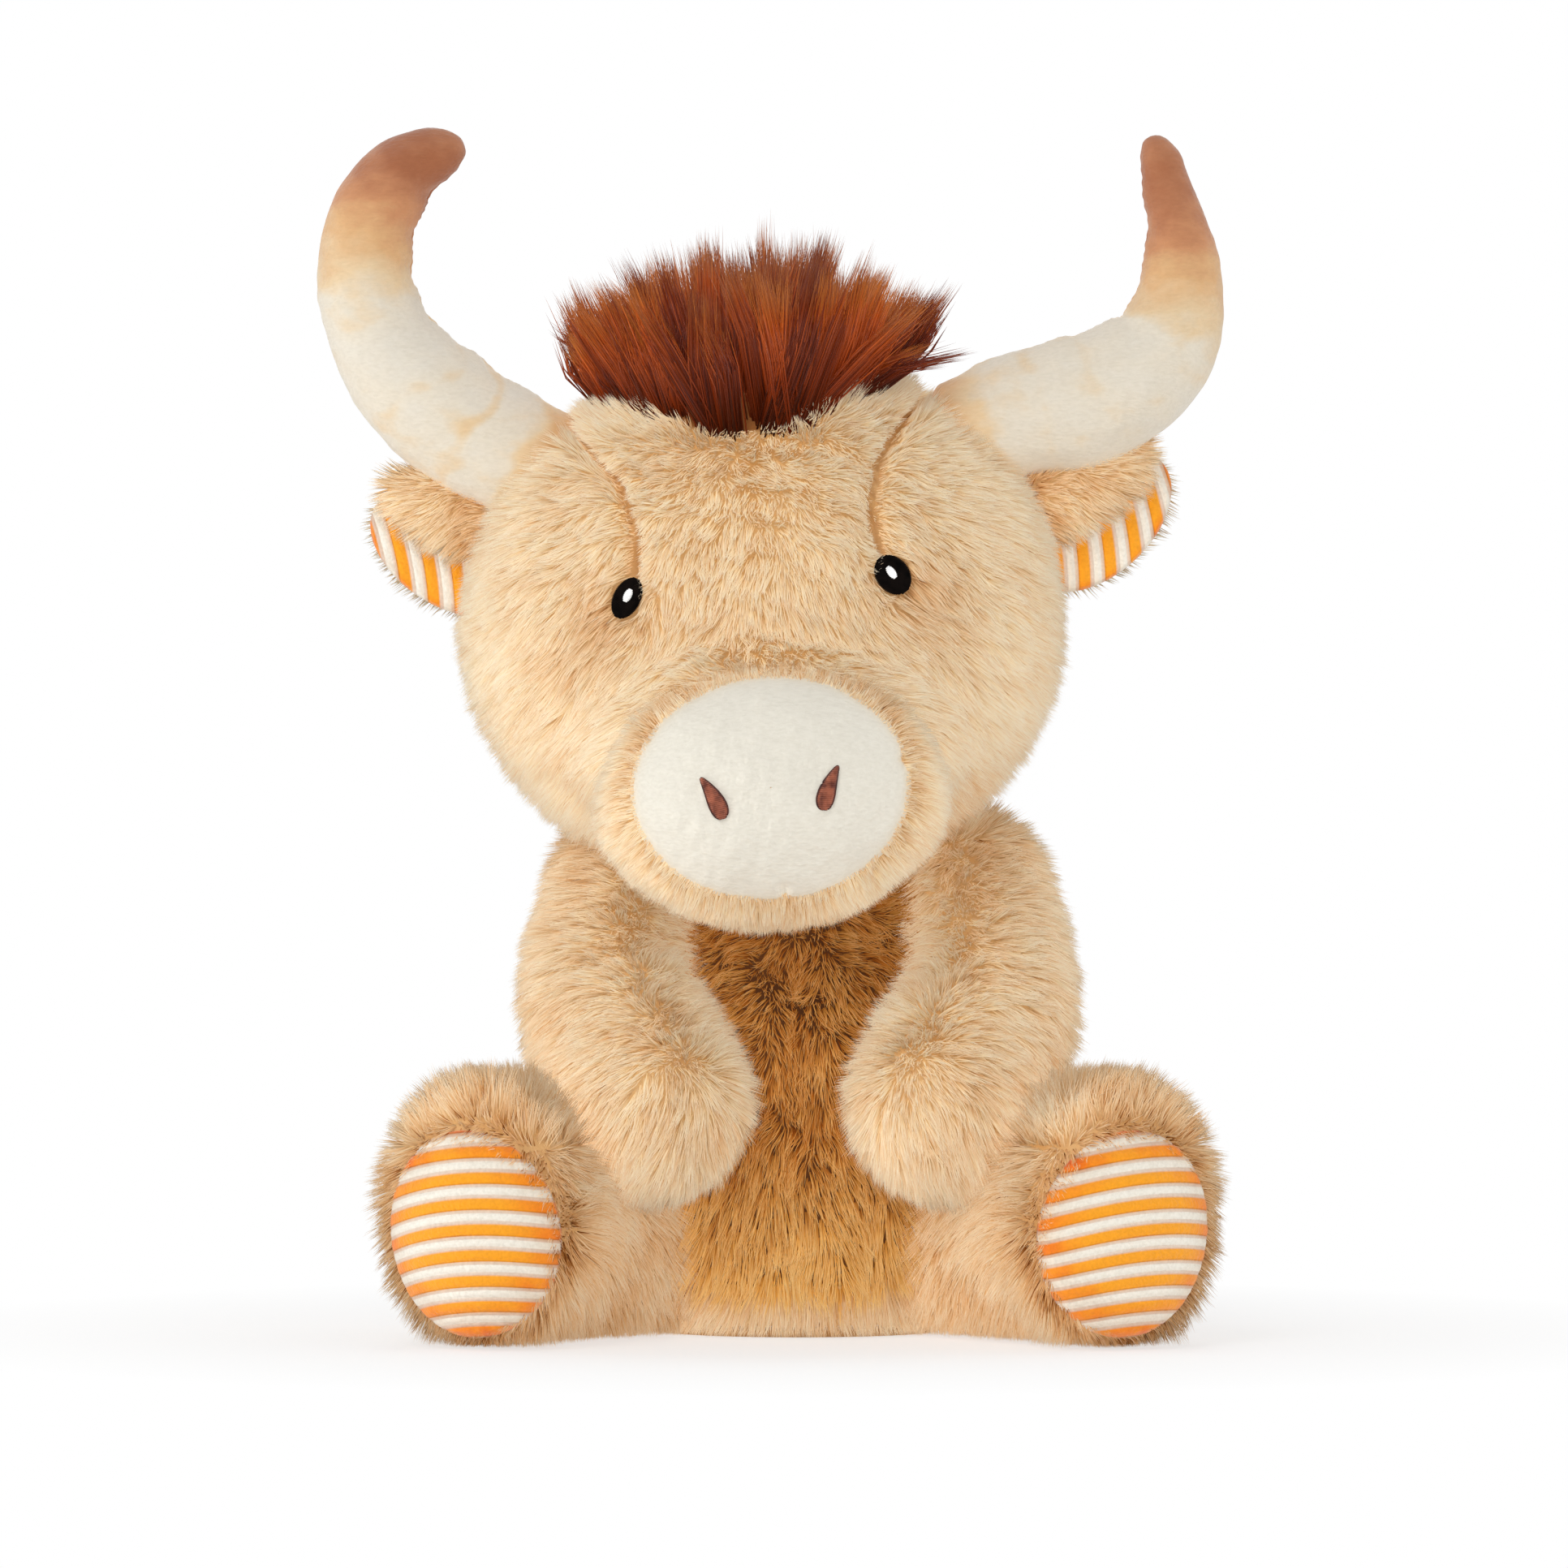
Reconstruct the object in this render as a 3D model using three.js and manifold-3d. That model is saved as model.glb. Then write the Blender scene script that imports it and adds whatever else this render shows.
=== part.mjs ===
// A seated plush highland cow, in millimetres. +Z is up and the face looks along -Y.
// Left and right are the viewer's, so the left pieces lie at negative X.
// The origin is the middle of the seat panel's underside, which lies on the floor.
import * as THREE from 'three';
import { mergeGeometries, mergeVertices } from 'three/addons/utils/BufferGeometryUtils.js';
import Module from 'manifold-3d';

const wasm = await Module();
wasm.setup();

// Gap between sewn pieces, room between pieces that move, what flat facets add to it, the gap round
// the neck, and how far a cutting solid overruns.
const clearance = 0.3;
const motionRoom = 0.7;
const facetRoom = 1.3;
const neckRoom = 0.6;
const overrun = 400;

// Torso: a pear of fur fabric round fibre filling, with a flat seat panel and a pellet bag.
const torsoHalfWidth = 56;
const torsoHalfDepth = 47;
const torsoTop = 128;
const torsoSag = 18;
const domeShare = 0.5;
const torsoWaistShares = [1.04, 1.06, 1.0, 0.94, 0.92];
const furThickness = 5.5;
const seatThickness = 1.8;
const pelletBagHalfWidth = 34;
const pelletBagHalfDepth = 29;
const pelletBagHeight = 30;
const pelletBagShares = [1.1, 1.05, 1, 1, 1];
const pelletSagShare = 0.25;

// Belly panel: darker fur let into the front of the torso.
const bellyPanelThickness = 2.6;
const bellyHalfWidth = 36;
const bellyTop = 118;
const bellyBottom = 12;
const bellyWaistShare = 0.8;

// Neck: a stuffed ball that the head turns and nods on.
const neckRadius = 22;
const neckHeight = 121.7;
const neckOffset = -3.9;
const headRollDegrees = 5;

// Head, in its own frame: the origin is the middle of the neck.
const headHalfWidth = 74.5;
const headHalfDepth = 56;
const headChin = -11;
const headCrown = 127;
const headForward = 11;
const headWidthShares = [0.84, 0.95, 1.0, 1.01, 1.02];
const headDepthShares = [0.92, 1.0, 1.02, 1.0, 0.98];
const muzzleDepthShare = 0.5;
const muzzleRootShare = 0.2;

// Muzzle and the velour snout patch on its front.
const muzzleHalfWidth = 41;
const muzzleHalfHeight = 30.5;
const muzzleReach = 30;
const muzzleHeight = 15;
const muzzleShift = -1.6;
const snoutHalfWidth = 34.5;
const snoutHalfHeight = 28;
const snoutRise = 1.4;
const snoutThickness = 2.6;

// Embroidered nostrils and eyes.
const nostrilSpacing = 26.3;
const nostrilLength = 11;
const nostrilWidth = 4.4;
const nostrilRise = 0.2;
const nostrilLeanDegrees = 24;
const stitchThickness = 1.1;
const eyeSpacing = 66;
const eyeHeight = 66.2;
const eyeHalfWidth = 5;
const eyeHalfHeight = 5.8;
const highlightHalfWidth = 1.5;
const highlightHalfHeight = 2;
const highlightRise = 1.2;

// Hair tuft: straight strands that stand on a slice of backing and fan out.
const tuftHalfWidth = 26;
const tuftHalfDepth = 15;
const tuftForward = 27;
const tuftBackingThickness = 2.4;
const strandSpacing = 2.1;
const strandHalfWidth = 0.85;
const strandLength = 38;
const strandRootDepth = 1.2;
const strandLengthShares = [1.0, 0.86, 0.95, 0.8, 1.04, 0.9, 0.83];
const rowTurnCount = 3;
const columnTurnCount = 5;
const fanDepth = 50;
const strandSides = 3;

// Horns: velour tubes, each with its own bend, given as shares of the horn's rise.
const hornRise = 84;
const hornHalfWidth = 16.6;
const hornSeatOut = 51.3;
const hornSeatHeight = 102.5;
const hornTipShare = 0.07;
const hornSwayDegrees = 4;
const leftHorn = {
  spineShares: [[-0.08, -0.06], [0.23, 0.14], [0.42, 0.35], [0.49, 0.57], [0.46, 0.77], [0.36, 0.91],
    [0.16, 0.992]],
  widthShares: [0.88, 0.96, 0.96, 0.8, 0.71, 0.6, 0.34],
};
const rightHorn = {
  spineShares: [[-0.04, -0.06], [0.18, 0.02], [0.46, 0.067], [0.67, 0.205], [0.736, 0.437], [0.723, 0.625],
    [0.687, 0.83]],
  widthShares: [0.88, 0.94, 1.02, 0.88, 0.66, 0.42, 0.3],
};

// Ears: a fur leaf over a striped lining leaf.
const earHalfLength = 24;
const earHalfHeight = 14.5;
const earHalfThickness = 6.5;
const leftEarOut = 74;
const rightEarOut = 83;
const leftEarBelowHorn = 12.5;
const rightEarBelowHorn = 19;
const earBack = 2;
const liningHalfLength = 23;
const liningHalfHeight = 17.5;
const liningHalfThickness = 2.6;
const liningOut = 4.5;
const liningDrop = 8;
const earFlopDegrees = 10;

// Arms: from the shoulder over the elbow to a round paw that rests on the belly.
const shoulderOut = 43;
const shoulderBack = 0;
const shoulderHeight = 113;
const elbowOut = 47;
const elbowForward = 29;
const elbowHeight = 84;
const pawOut = 35;
const pawForward = 55;
const pawHeight = 59;
const shoulderHalfWidth = 19;
const pawHalfWidth = 22.5;
const armWidthShares = [1.0, 1.04, 1.06, 1.04, 1.0];
const armSwingDegrees = { down: -3, up: 22 };

// Legs: from the hip to an upright foot, whose sole looks forwards and a little outwards.
const hipOut = 33;
const hipForward = 8;
const hipHalfWidth = 23;
const hipHalfHeight = 25;
const footOut = 79;
const footForward = 78;
const footHalfWidth = 25.5;
const footHalfHeight = 34;
const footCap = 12;
const footRoundShare = 1.6;
const footTurnDegrees = 22;
const floorSquash = 1;
const legSplayDegrees = { inwards: -3, outwards: 10 };
const soleHalfWidth = 22.5;
const soleHalfHeight = 25.5;
const soleDrop = 4.4;
const soleThickness = 2.6;

// Tail: a stuffed cord of fabric with a tuft, at the back of the torso.
const tailLength = 26;
const tailHalfWidth = 4.2;
const tailRootHeight = 50;
const tailStandOff = 6;
const tailTuftLength = 20;
const tailTuftHalfWidth = 7.5;
const tailRoundShare = 0.1;
const tuftRootShare = 0.3;
const tuftTipShare = 0.6;
const tailSwingDegrees = 14;

// Head movement that every neighbour makes room for.
const headTurnDegrees = 12;
const headNodDegrees = { down: -3, up: 7 };

// Finishes.
const finish = (color, roughness) => new THREE.MeshStandardMaterial({ color, roughness, metalness: 0 });
const tanFur = finish('#dcb684', 0.95);
const bellyFur = finish('#97653a', 0.95);
const velour = finish('#f3ead6', 0.85);
const stripedVelour = finish('#f0a030', 0.85);
const hairFibre = finish('#8b4226', 0.6);
const blackThread = finish('#121014', 0.45);
const whiteThread = finish('#f4f2ee', 0.45);
const brownThread = finish('#5e2c1a', 0.5);
const filling = finish('#f5f5f2', 1);
const pelletCloth = finish('#e6e2d8', 0.9);

const alongX = new THREE.Vector3(1, 0, 0);
const alongY = new THREE.Vector3(0, 1, 0);
const alongZ = new THREE.Vector3(0, 0, 1);
const { degToRad } = THREE.MathUtils;

// A closed manifold-3d solid from a geometry.
function solid(geometry) {
  const bare = geometry.clone();
  bare.deleteAttribute('normal');
  bare.deleteAttribute('uv');
  const merged = mergeVertices(bare);
  return new wasm.Manifold(new wasm.Mesh({
    numProp: 3,
    vertProperties: new Float32Array(merged.attributes.position.array),
    triVerts: new Uint32Array(merged.index.array),
  }));
}

// The geometry of a manifold-3d solid.
function geometryOf(body) {
  const mesh = body.getMesh();
  const geometry = new THREE.BufferGeometry();
  geometry.setAttribute('position', new THREE.BufferAttribute(mesh.vertProperties, mesh.numProp));
  geometry.setIndex(new THREE.BufferAttribute(mesh.triVerts, 1));
  return geometry;
}

// A named mesh with flat-shaded faces.
function piece(name, body, material) {
  const geometry = geometryOf(body).toNonIndexed();
  geometry.computeVertexNormals();
  const mesh = new THREE.Mesh(geometry, material);
  mesh.name = name;
  return mesh;
}

// A smooth value along 0 to 1 from evenly spaced shares.
function along(shares) {
  const curve = new THREE.SplineCurve(shares.map((share, i) => new THREE.Vector2(i, share)));
  return (t) => curve.getPoint(t).y;
}

// Rounds a form off at both ends: 0 at an end, 1 past the rounded part.
function rounded(t, startShare, endShare) {
  const inside = Math.min(1, t / startShare, (1 - t) / endShare);
  return Math.sqrt(1 - (1 - inside) ** 2);
}

// A stuffed form: elliptical rings round a spine, closed by a point at each end.
function stuffed(spine, halfWidth, halfHeight, up, { sides, rings }) {
  const points = [];
  const faces = [];
  const put = (point) => points.push(point.x, point.y, point.z);
  for (let i = 0; i <= rings; i += 1) {
    const t = (1 - Math.cos((Math.PI * i) / rings)) / 2;
    const centre = spine.getPointAt(t);
    if (i === 0 || i === rings) {
      put(centre);
      continue;
    }
    const tangent = spine.getTangentAt(t);
    const across = up.clone().cross(tangent).normalize();
    const upright = tangent.clone().cross(across);
    for (let j = 0; j < sides; j += 1) {
      const angle = (2 * Math.PI * j) / sides;
      put(centre.clone()
        .addScaledVector(across, halfWidth(t) * Math.cos(angle))
        .addScaledVector(upright, halfHeight(t) * Math.sin(angle)));
    }
  }
  const last = 1 + (rings - 1) * sides;
  const at = (ring, side) => 1 + ring * sides + (side % sides);
  for (let j = 0; j < sides; j += 1) {
    faces.push(0, at(0, j + 1), at(0, j), last, at(rings - 2, j), at(rings - 2, j + 1));
    for (let i = 0; i < rings - 2; i += 1) {
      faces.push(at(i, j), at(i, j + 1), at(i + 1, j), at(i, j + 1), at(i + 1, j + 1), at(i + 1, j));
    }
  }
  const form = new THREE.BufferGeometry();
  form.setAttribute('position', new THREE.Float32BufferAttribute(points, 3));
  form.setIndex(faces);
  return form;
}

// A copy of a form whose surface is moved outwards, or inwards where the amount is negative.
function grown(form, amount) {
  const copy = form.clone();
  copy.computeVertexNormals();
  const { position, normal } = copy.attributes;
  for (let i = 0; i < position.count; i += 1) {
    position.setXYZ(
      i,
      position.getX(i) + amount * normal.getX(i),
      position.getY(i) + amount * normal.getY(i),
      position.getZ(i) + amount * normal.getZ(i),
    );
  }
  copy.deleteAttribute('normal');
  return copy;
}

// An upright form, from a lower to an upper height.
function uprightForm({ x = 0, y, low, high, halfWidth, halfDepth, widthShares, depthShares }, detail) {
  const spine = new THREE.LineCurve3(new THREE.Vector3(x, y, low), new THREE.Vector3(x, y, high));
  const width = along(widthShares);
  const depth = along(depthShares);
  return stuffed(
    spine,
    (t) => halfWidth * width(t) * rounded(t, domeShare, domeShare),
    (t) => halfDepth * depth(t) * rounded(t, domeShare, domeShare),
    alongY,
    detail,
  );
}

// A turn about an axis through a point.
function turn(pivot, axis, degrees) {
  return new THREE.Matrix4()
    .makeTranslation(pivot)
    .multiply(new THREE.Matrix4().makeRotationAxis(axis, degToRad(degrees)))
    .multiply(new THREE.Matrix4().makeTranslation(pivot.clone().negate()));
}

// Evenly spaced values from low to high, both included.
function steps(low, high, count) {
  return Array.from({ length: count }, (_, i) => low + ((high - low) * i) / (count - 1));
}

// The union of a form at every pose in a list.
function swept(form, poses) {
  return poses.map((pose) => solid(form.clone().applyMatrix4(pose))).reduce((all, next) => all.add(next));
}

// What a moving piece meets, as that piece sees it, while its own joint goes through its poses.
function met(forms, ownPoses) {
  const back = ownPoses.map((pose) => pose.clone().invert());
  return forms.map((form) => swept(form, back)).reduce((all, next) => all.add(next));
}

// A prism with an outline drawn as the viewer sees it, reaching forwards from the middle plane.
function forwardPrism(outline, turnDegrees = 0, curveSegments = 10) {
  const options = { depth: overrun, bevelEnabled: false, curveSegments };
  return new THREE.ExtrudeGeometry(outline, options)
    .rotateX(Math.PI / 2)
    .rotateZ(degToRad(turnDegrees));
}

function ellipse(x, z, halfWidth, halfHeight) {
  return new THREE.Shape().absellipse(x, z, halfWidth, halfHeight, 0, 2 * Math.PI);
}

// A box that fills everything below a height.
function below(height) {
  return solid(new THREE.BoxGeometry(overrun, overrun, overrun).translate(0, 0, height - overrun / 2));
}

// A stitched or sewn layer on a form, inside an outline, from one offset of its surface to another.
function layer(form, prism, inner, outer) {
  return solid(grown(form, outer)).intersect(solid(prism)).subtract(solid(grown(form, inner)));
}

// Forms that more than one piece is cut by.
const torsoDetail = { sides: 22, rings: 12 };
const neckDetail = 20;
const movingRoom = motionRoom + facetRoom;
const torsoForm = (detail) => uprightForm({
  y: 0,
  low: -torsoSag,
  high: torsoTop,
  halfWidth: torsoHalfWidth,
  halfDepth: torsoHalfDepth,
  widthShares: torsoWaistShares,
  depthShares: torsoWaistShares,
}, detail);

const headForm = (detail) => uprightForm({
  y: -headForward,
  low: headChin,
  high: headCrown,
  halfWidth: headHalfWidth,
  halfDepth: headHalfDepth,
  widthShares: headWidthShares,
  depthShares: headDepthShares,
}, detail);

// The muzzle starts inside the head and reaches out past its front.
const muzzleStart = -headForward - headHalfDepth * muzzleDepthShare;
const muzzleEnd = -headForward - headHalfDepth - muzzleReach;
const muzzleMiddle = (muzzleStart + muzzleEnd) / 2;
const muzzleForm = (detail) => {
  const start = new THREE.Vector3(muzzleShift, muzzleStart, muzzleHeight);
  const end = new THREE.Vector3(muzzleShift, muzzleEnd, muzzleHeight);
  return stuffed(
    new THREE.LineCurve3(start, end),
    (t) => muzzleHalfWidth * rounded(t, muzzleRootShare, domeShare),
    (t) => muzzleHalfHeight * rounded(t, muzzleRootShare, domeShare),
    alongZ,
    detail,
  );
};

const neckPivot = new THREE.Vector3(neckOffset, 0, neckHeight);
const neckForm = (growth, detail) => new THREE.SphereGeometry(neckRadius + growth, detail, detail / 2);

const headGroup = new THREE.Group();
headGroup.position.copy(neckPivot);
headGroup.rotation.y = -degToRad(headRollDegrees);
headGroup.updateMatrixWorld(true);

// The head turns about the vertical and nods about the line across its neck.
const headPoses = steps(-headTurnDegrees, headTurnDegrees, 5).flatMap((turned) => (
  steps(headNodDegrees.down, headNodDegrees.up, 3).map((nodded) => (
    turn(neckPivot, alongZ, turned).multiply(turn(neckPivot, alongX, -nodded))
  ))
));
const coarseSkull = grown(headForm({ sides: 18, rings: 10 }), movingRoom)
  .applyMatrix4(headGroup.matrixWorld);
const coarseMuzzle = grown(muzzleForm({ sides: 14, rings: 8 }), movingRoom)
  .applyMatrix4(headGroup.matrixWorld);
const headRoom = swept(coarseSkull, headPoses).add(swept(coarseMuzzle, headPoses));
const headRoomForm = geometryOf(headRoom);

// Arm of one side, -1 for the left and 1 for the right, before anything cuts it.
function armForm(side, detail) {
  const shoulder = new THREE.Vector3(side * shoulderOut, shoulderBack, shoulderHeight);
  const elbow = new THREE.Vector3(side * elbowOut, -elbowForward, elbowHeight);
  const paw = new THREE.Vector3(side * pawOut, -pawForward, pawHeight);
  const start = shoulder.clone().add(shoulder.clone().sub(elbow).setLength(shoulderHalfWidth));
  const end = paw.clone().add(paw.clone().sub(elbow).setLength(pawHalfWidth));
  const spine = new THREE.CatmullRomCurve3([start, shoulder, elbow, paw, end]);
  const length = spine.getLength();
  const swell = along(armWidthShares);
  const width = (t) => THREE.MathUtils.lerp(shoulderHalfWidth, pawHalfWidth, t) * swell(t)
    * rounded(t, shoulderHalfWidth / length, pawHalfWidth / length);
  return stuffed(spine, width, width, alongZ, detail);
}

const shoulderPivot = (side) => new THREE.Vector3(side * shoulderOut, shoulderBack, shoulderHeight);
const armPoses = (side) => steps(armSwingDegrees.down, armSwingDegrees.up, 4)
  .map((raised) => turn(shoulderPivot(side), alongX, -raised));

const armRoomForms = (side) => {
  const coarse = grown(armForm(side, { sides: 12, rings: 8 }), movingRoom);
  return armPoses(side).map((pose) => coarse.clone().applyMatrix4(pose));
};

// Leg of one side before anything cuts it.
function legForm(side, detail) {
  const turned = degToRad(footTurnDegrees);
  const facing = new THREE.Vector3(side * Math.sin(turned), -Math.cos(turned), 0);
  const hip = new THREE.Vector3(side * hipOut, -hipForward, hipHalfHeight - floorSquash);
  const foot = new THREE.Vector3(side * footOut, -footForward, footHalfHeight - floorSquash);
  const start = hip.clone().add(hip.clone().sub(foot).setLength(hipHalfWidth));
  const ankle = foot.clone().addScaledVector(facing, -footHalfWidth);
  const end = foot.clone().addScaledVector(facing, footCap);
  const spine = new THREE.CatmullRomCurve3([start, hip, ankle, foot, end]);
  const length = spine.getLength();
  const { lerp } = THREE.MathUtils;
  const caps = (t) => rounded(t, hipHalfWidth / length, (footRoundShare * footCap) / length);
  return stuffed(
    spine,
    (t) => lerp(hipHalfWidth, footHalfWidth, t) * caps(t),
    (t) => lerp(hipHalfHeight, footHalfHeight, t) * caps(t),
    alongZ,
    detail,
  );
}

const hipPivot = (side) => new THREE.Vector3(side * hipOut, -hipForward, 0);
const legPoses = (side) => steps(legSplayDegrees.inwards, legSplayDegrees.outwards, 3)
  .map((splayed) => turn(hipPivot(side), alongZ, side * splayed));

// Torso shell, seat panel, belly panel and what is inside.
function makeTorso(group) {
  const form = torsoForm(torsoDetail);
  const inner = torsoForm({ sides: 14, rings: 8 });
  const seatTop = seatThickness + clearance;
  const neckCut = solid(neckForm(neckRoom, neckDetail).translate(...neckPivot.toArray()));
  const seatPrism = forwardPrism(bellyOutline(clearance));
  const panelSeat = layer(form, seatPrism, -bellyPanelThickness - clearance, overrun);
  const bag = uprightForm({
    y: 0,
    low: seatTop + clearance - pelletBagHeight * pelletSagShare,
    high: seatTop + pelletBagHeight,
    halfWidth: pelletBagHalfWidth,
    halfDepth: pelletBagHalfDepth,
    widthShares: pelletBagShares,
    depthShares: pelletBagShares,
  }, { sides: 18, rings: 10 });

  const shell = solid(form)
    .subtract(solid(grown(inner, -furThickness)))
    .subtract(panelSeat)
    .subtract(below(seatTop))
    .subtract(neckCut)
    .subtract(headRoom);
  const panel = layer(form, forwardPrism(bellyOutline(0)), -bellyPanelThickness, 0).subtract(headRoom);
  const stuffing = solid(grown(inner, -furThickness - clearance))
    .subtract(below(seatTop + clearance))
    .subtract(solid(grown(bag, clearance)))
    .subtract(neckCut)
    .subtract(headRoom);
  group.add(
    piece('torso', shell, tanFur),
    piece('belly_panel', panel, bellyFur),
    piece('seat_panel', solid(form).intersect(below(seatThickness)).subtract(below(0)), tanFur),
    piece('torso_stuffing', stuffing, filling),
    piece('pellet_bag', solid(bag).subtract(below(seatTop + clearance)), pelletCloth),
  );
}

// The belly panel's outline, wide at the bottom, drawn in at the waist, and grown by a margin.
function bellyOutline(margin) {
  const wide = bellyHalfWidth + margin;
  const waist = bellyHalfWidth * bellyWaistShare + margin;
  const top = bellyTop + margin;
  const bottom = bellyBottom - margin;
  const middle = (top + bottom) / 2;
  const outline = new THREE.Shape();
  outline.moveTo(-waist, top);
  outline.bezierCurveTo(-waist, middle, -wide, middle, -wide, (bottom + middle) / 2);
  outline.bezierCurveTo(-wide, bottom, -waist, bottom, 0, bottom);
  outline.bezierCurveTo(waist, bottom, wide, bottom, wide, (bottom + middle) / 2);
  outline.bezierCurveTo(wide, middle, waist, middle, waist, top);
  outline.closePath();
  return outline;
}

function makeNeck(group) {
  const neck = piece('neck_plug', solid(neckForm(0, neckDetail)), filling);
  neck.position.copy(neckPivot);
  group.add(neck);
}

// Head shell with its filling.
function makeSkull(form) {
  const inner = headForm({ sides: 14, rings: 8 });
  const neckCut = solid(neckForm(neckRoom, neckDetail));
  headGroup.add(
    piece('head', solid(form).subtract(solid(grown(inner, -furThickness))).subtract(neckCut), tanFur),
    piece('head_stuffing', solid(grown(inner, -furThickness - clearance)).subtract(neckCut), filling),
  );
}

// Outer surface of embroidery that lies on a form.
const stitchTop = clearance + stitchThickness;

// Fur muzzle with the velour snout patch let into its front.
function makeMuzzle(headCut) {
  const form = muzzleForm({ sides: 20, rings: 10 });
  const patchOutline = (margin) => forwardPrism(ellipse(
    muzzleShift,
    muzzleHeight + snoutRise,
    snoutHalfWidth + margin,
    snoutHalfHeight + margin,
  )).translate(0, muzzleMiddle, 0);
  const patch = layer(form, patchOutline(0), -snoutThickness, 0).subtract(headCut);
  const muzzle = solid(form)
    .subtract(layer(form, patchOutline(clearance), -snoutThickness - clearance, overrun))
    .subtract(headCut);
  headGroup.add(
    piece('muzzle', muzzle, tanFur),
    piece('snout_patch', patch, velour),
  );
  for (const [name, side] of [['left', -1], ['right', 1]]) {
    const outline = nostrilOutline(side);
    headGroup.add(piece(
      `nostril_${name}`,
      layer(form, forwardPrism(outline, 0, 4).translate(0, muzzleMiddle, 0), clearance, stitchTop),
      brownThread,
    ));
  }
}

// A teardrop whose thin end is at the top and leans outwards.
function nostrilOutline(side) {
  const lean = side * degToRad(nostrilLeanDegrees);
  const x = muzzleShift + (side * nostrilSpacing) / 2;
  const z = muzzleHeight + nostrilRise;
  const place = (across, up) => [
    x + across * Math.cos(lean) + up * Math.sin(lean),
    z - across * Math.sin(lean) + up * Math.cos(lean),
  ];
  const half = nostrilLength / 2;
  const outline = new THREE.Shape();
  outline.moveTo(...place(0, half));
  outline.quadraticCurveTo(...place(nostrilWidth / 2, half / 2), ...place(nostrilWidth / 2, -half / 2));
  outline.quadraticCurveTo(...place(nostrilWidth / 2, -half), ...place(0, -half));
  outline.quadraticCurveTo(...place(-nostrilWidth / 2, -half), ...place(-nostrilWidth / 2, -half / 2));
  outline.quadraticCurveTo(...place(-nostrilWidth / 4, 0), ...place(0, half));
  return outline;
}

// Embroidered eyes, each with a small white highlight stitched over it.
function makeEyes(form) {
  for (const [name, side] of [['left', -1], ['right', 1]]) {
    const x = (side * eyeSpacing) / 2;
    const oval = forwardPrism(ellipse(x, eyeHeight, eyeHalfWidth, eyeHalfHeight));
    const eye = layer(form, oval, clearance, stitchTop);
    const spot = layer(
      form,
      forwardPrism(ellipse(x, eyeHeight + highlightRise, highlightHalfWidth, highlightHalfHeight)),
      stitchTop + clearance,
      stitchTop + clearance + stitchThickness / 2,
    );
    headGroup.add(
      piece(`eye_${name}`, eye, blackThread),
      piece(`eye_highlight_${name}`, spot, whiteThread),
    );
  }
}

// Height of the head's upper surface over a point.
function crownHeight(x, y) {
  const wide = headHalfWidth * headWidthShares.at(-1);
  const deep = headHalfDepth * headDepthShares.at(-1);
  const reach = Math.min(1, Math.hypot(x / wide, (y + headForward) / deep));
  return headChin + ((headCrown - headChin) * (1 + Math.sqrt(1 - reach ** 2))) / 2;
}

// One straight tapering strand.
function strand(root, direction, length) {
  const upright = new THREE.Quaternion().setFromUnitVectors(alongY, direction);
  return new THREE.ConeGeometry(strandHalfWidth, length, strandSides)
    .translate(0, length / 2, 0)
    .applyQuaternion(upright)
    .translate(root.x, root.y, root.z);
}

// Hair tuft: strands that fan out from below the crown, fused to a slice of backing.
function makeTuft(form) {
  const middle = -headForward - tuftForward;
  const focus = new THREE.Vector3(0, middle, headCrown - fanDepth);
  const backingOutline = new THREE.Shape()
    .absellipse(0, middle, tuftHalfWidth + strandSpacing, tuftHalfDepth + strandSpacing, 0, 2 * Math.PI);
  const backingPrism = new THREE.ExtrudeGeometry(backingOutline, { depth: overrun, bevelEnabled: false })
    .translate(0, 0, headCrown / 2);
  const backing = layer(form, backingPrism, clearance, clearance + tuftBackingThickness);
  const rowStep = strandSpacing * Math.sin(Math.PI / 3);
  const rows = Math.floor(tuftHalfDepth / rowStep);
  const columns = Math.ceil(tuftHalfWidth / strandSpacing);
  const strands = [];
  for (let row = -rows; row <= rows; row += 1) {
    for (let column = -columns; column <= columns; column += 1) {
      const across = (column + (row % 2 === 0 ? 0 : 1 / 2)) * strandSpacing;
      const back = row * rowStep;
      if (Math.hypot(across / tuftHalfWidth, back / tuftHalfDepth) > 1) continue;
      const seat = new THREE.Vector3(across, middle + back, crownHeight(across, middle + back));
      const direction = seat.clone().sub(focus).normalize();
      const root = seat.addScaledVector(direction, clearance + tuftBackingThickness - strandRootDepth);
      const turnOf = rowTurnCount * (row + rows) + columnTurnCount * (column + columns);
      const share = strandLengthShares[turnOf % strandLengthShares.length];
      strands.push(strand(root, direction, strandLength * share));
    }
  }
  const brush = solid(mergeGeometries(strands)).subtract(solid(grown(form, clearance))).add(backing);
  headGroup.add(piece('hair_tuft', brush, hairFibre));
}

// Where a horn is sewn to the head, in the head's frame.
const hornSeat = (side) => new THREE.Vector3(side * hornSeatOut, -headForward, hornSeatHeight);

// A horn on its seat, before the head cuts it.
function hornForm(side, { spineShares, widthShares }, detail) {
  const seat = hornSeat(side);
  const spine = new THREE.CatmullRomCurve3(spineShares.map(([out, rise]) => (
    new THREE.Vector3(side * out, 0, rise).multiplyScalar(hornRise).add(seat)
  )));
  const width = along(widthShares);
  const radius = (t) => hornHalfWidth * width(t) * rounded(t, hornTipShare, hornTipShare);
  return stuffed(spine, radius, radius, alongY, detail);
}

const hornPoses = (side) => steps(-hornSwayDegrees, hornSwayDegrees, 3)
  .map((sway) => turn(hornSeat(side), alongY, sway));

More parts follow.
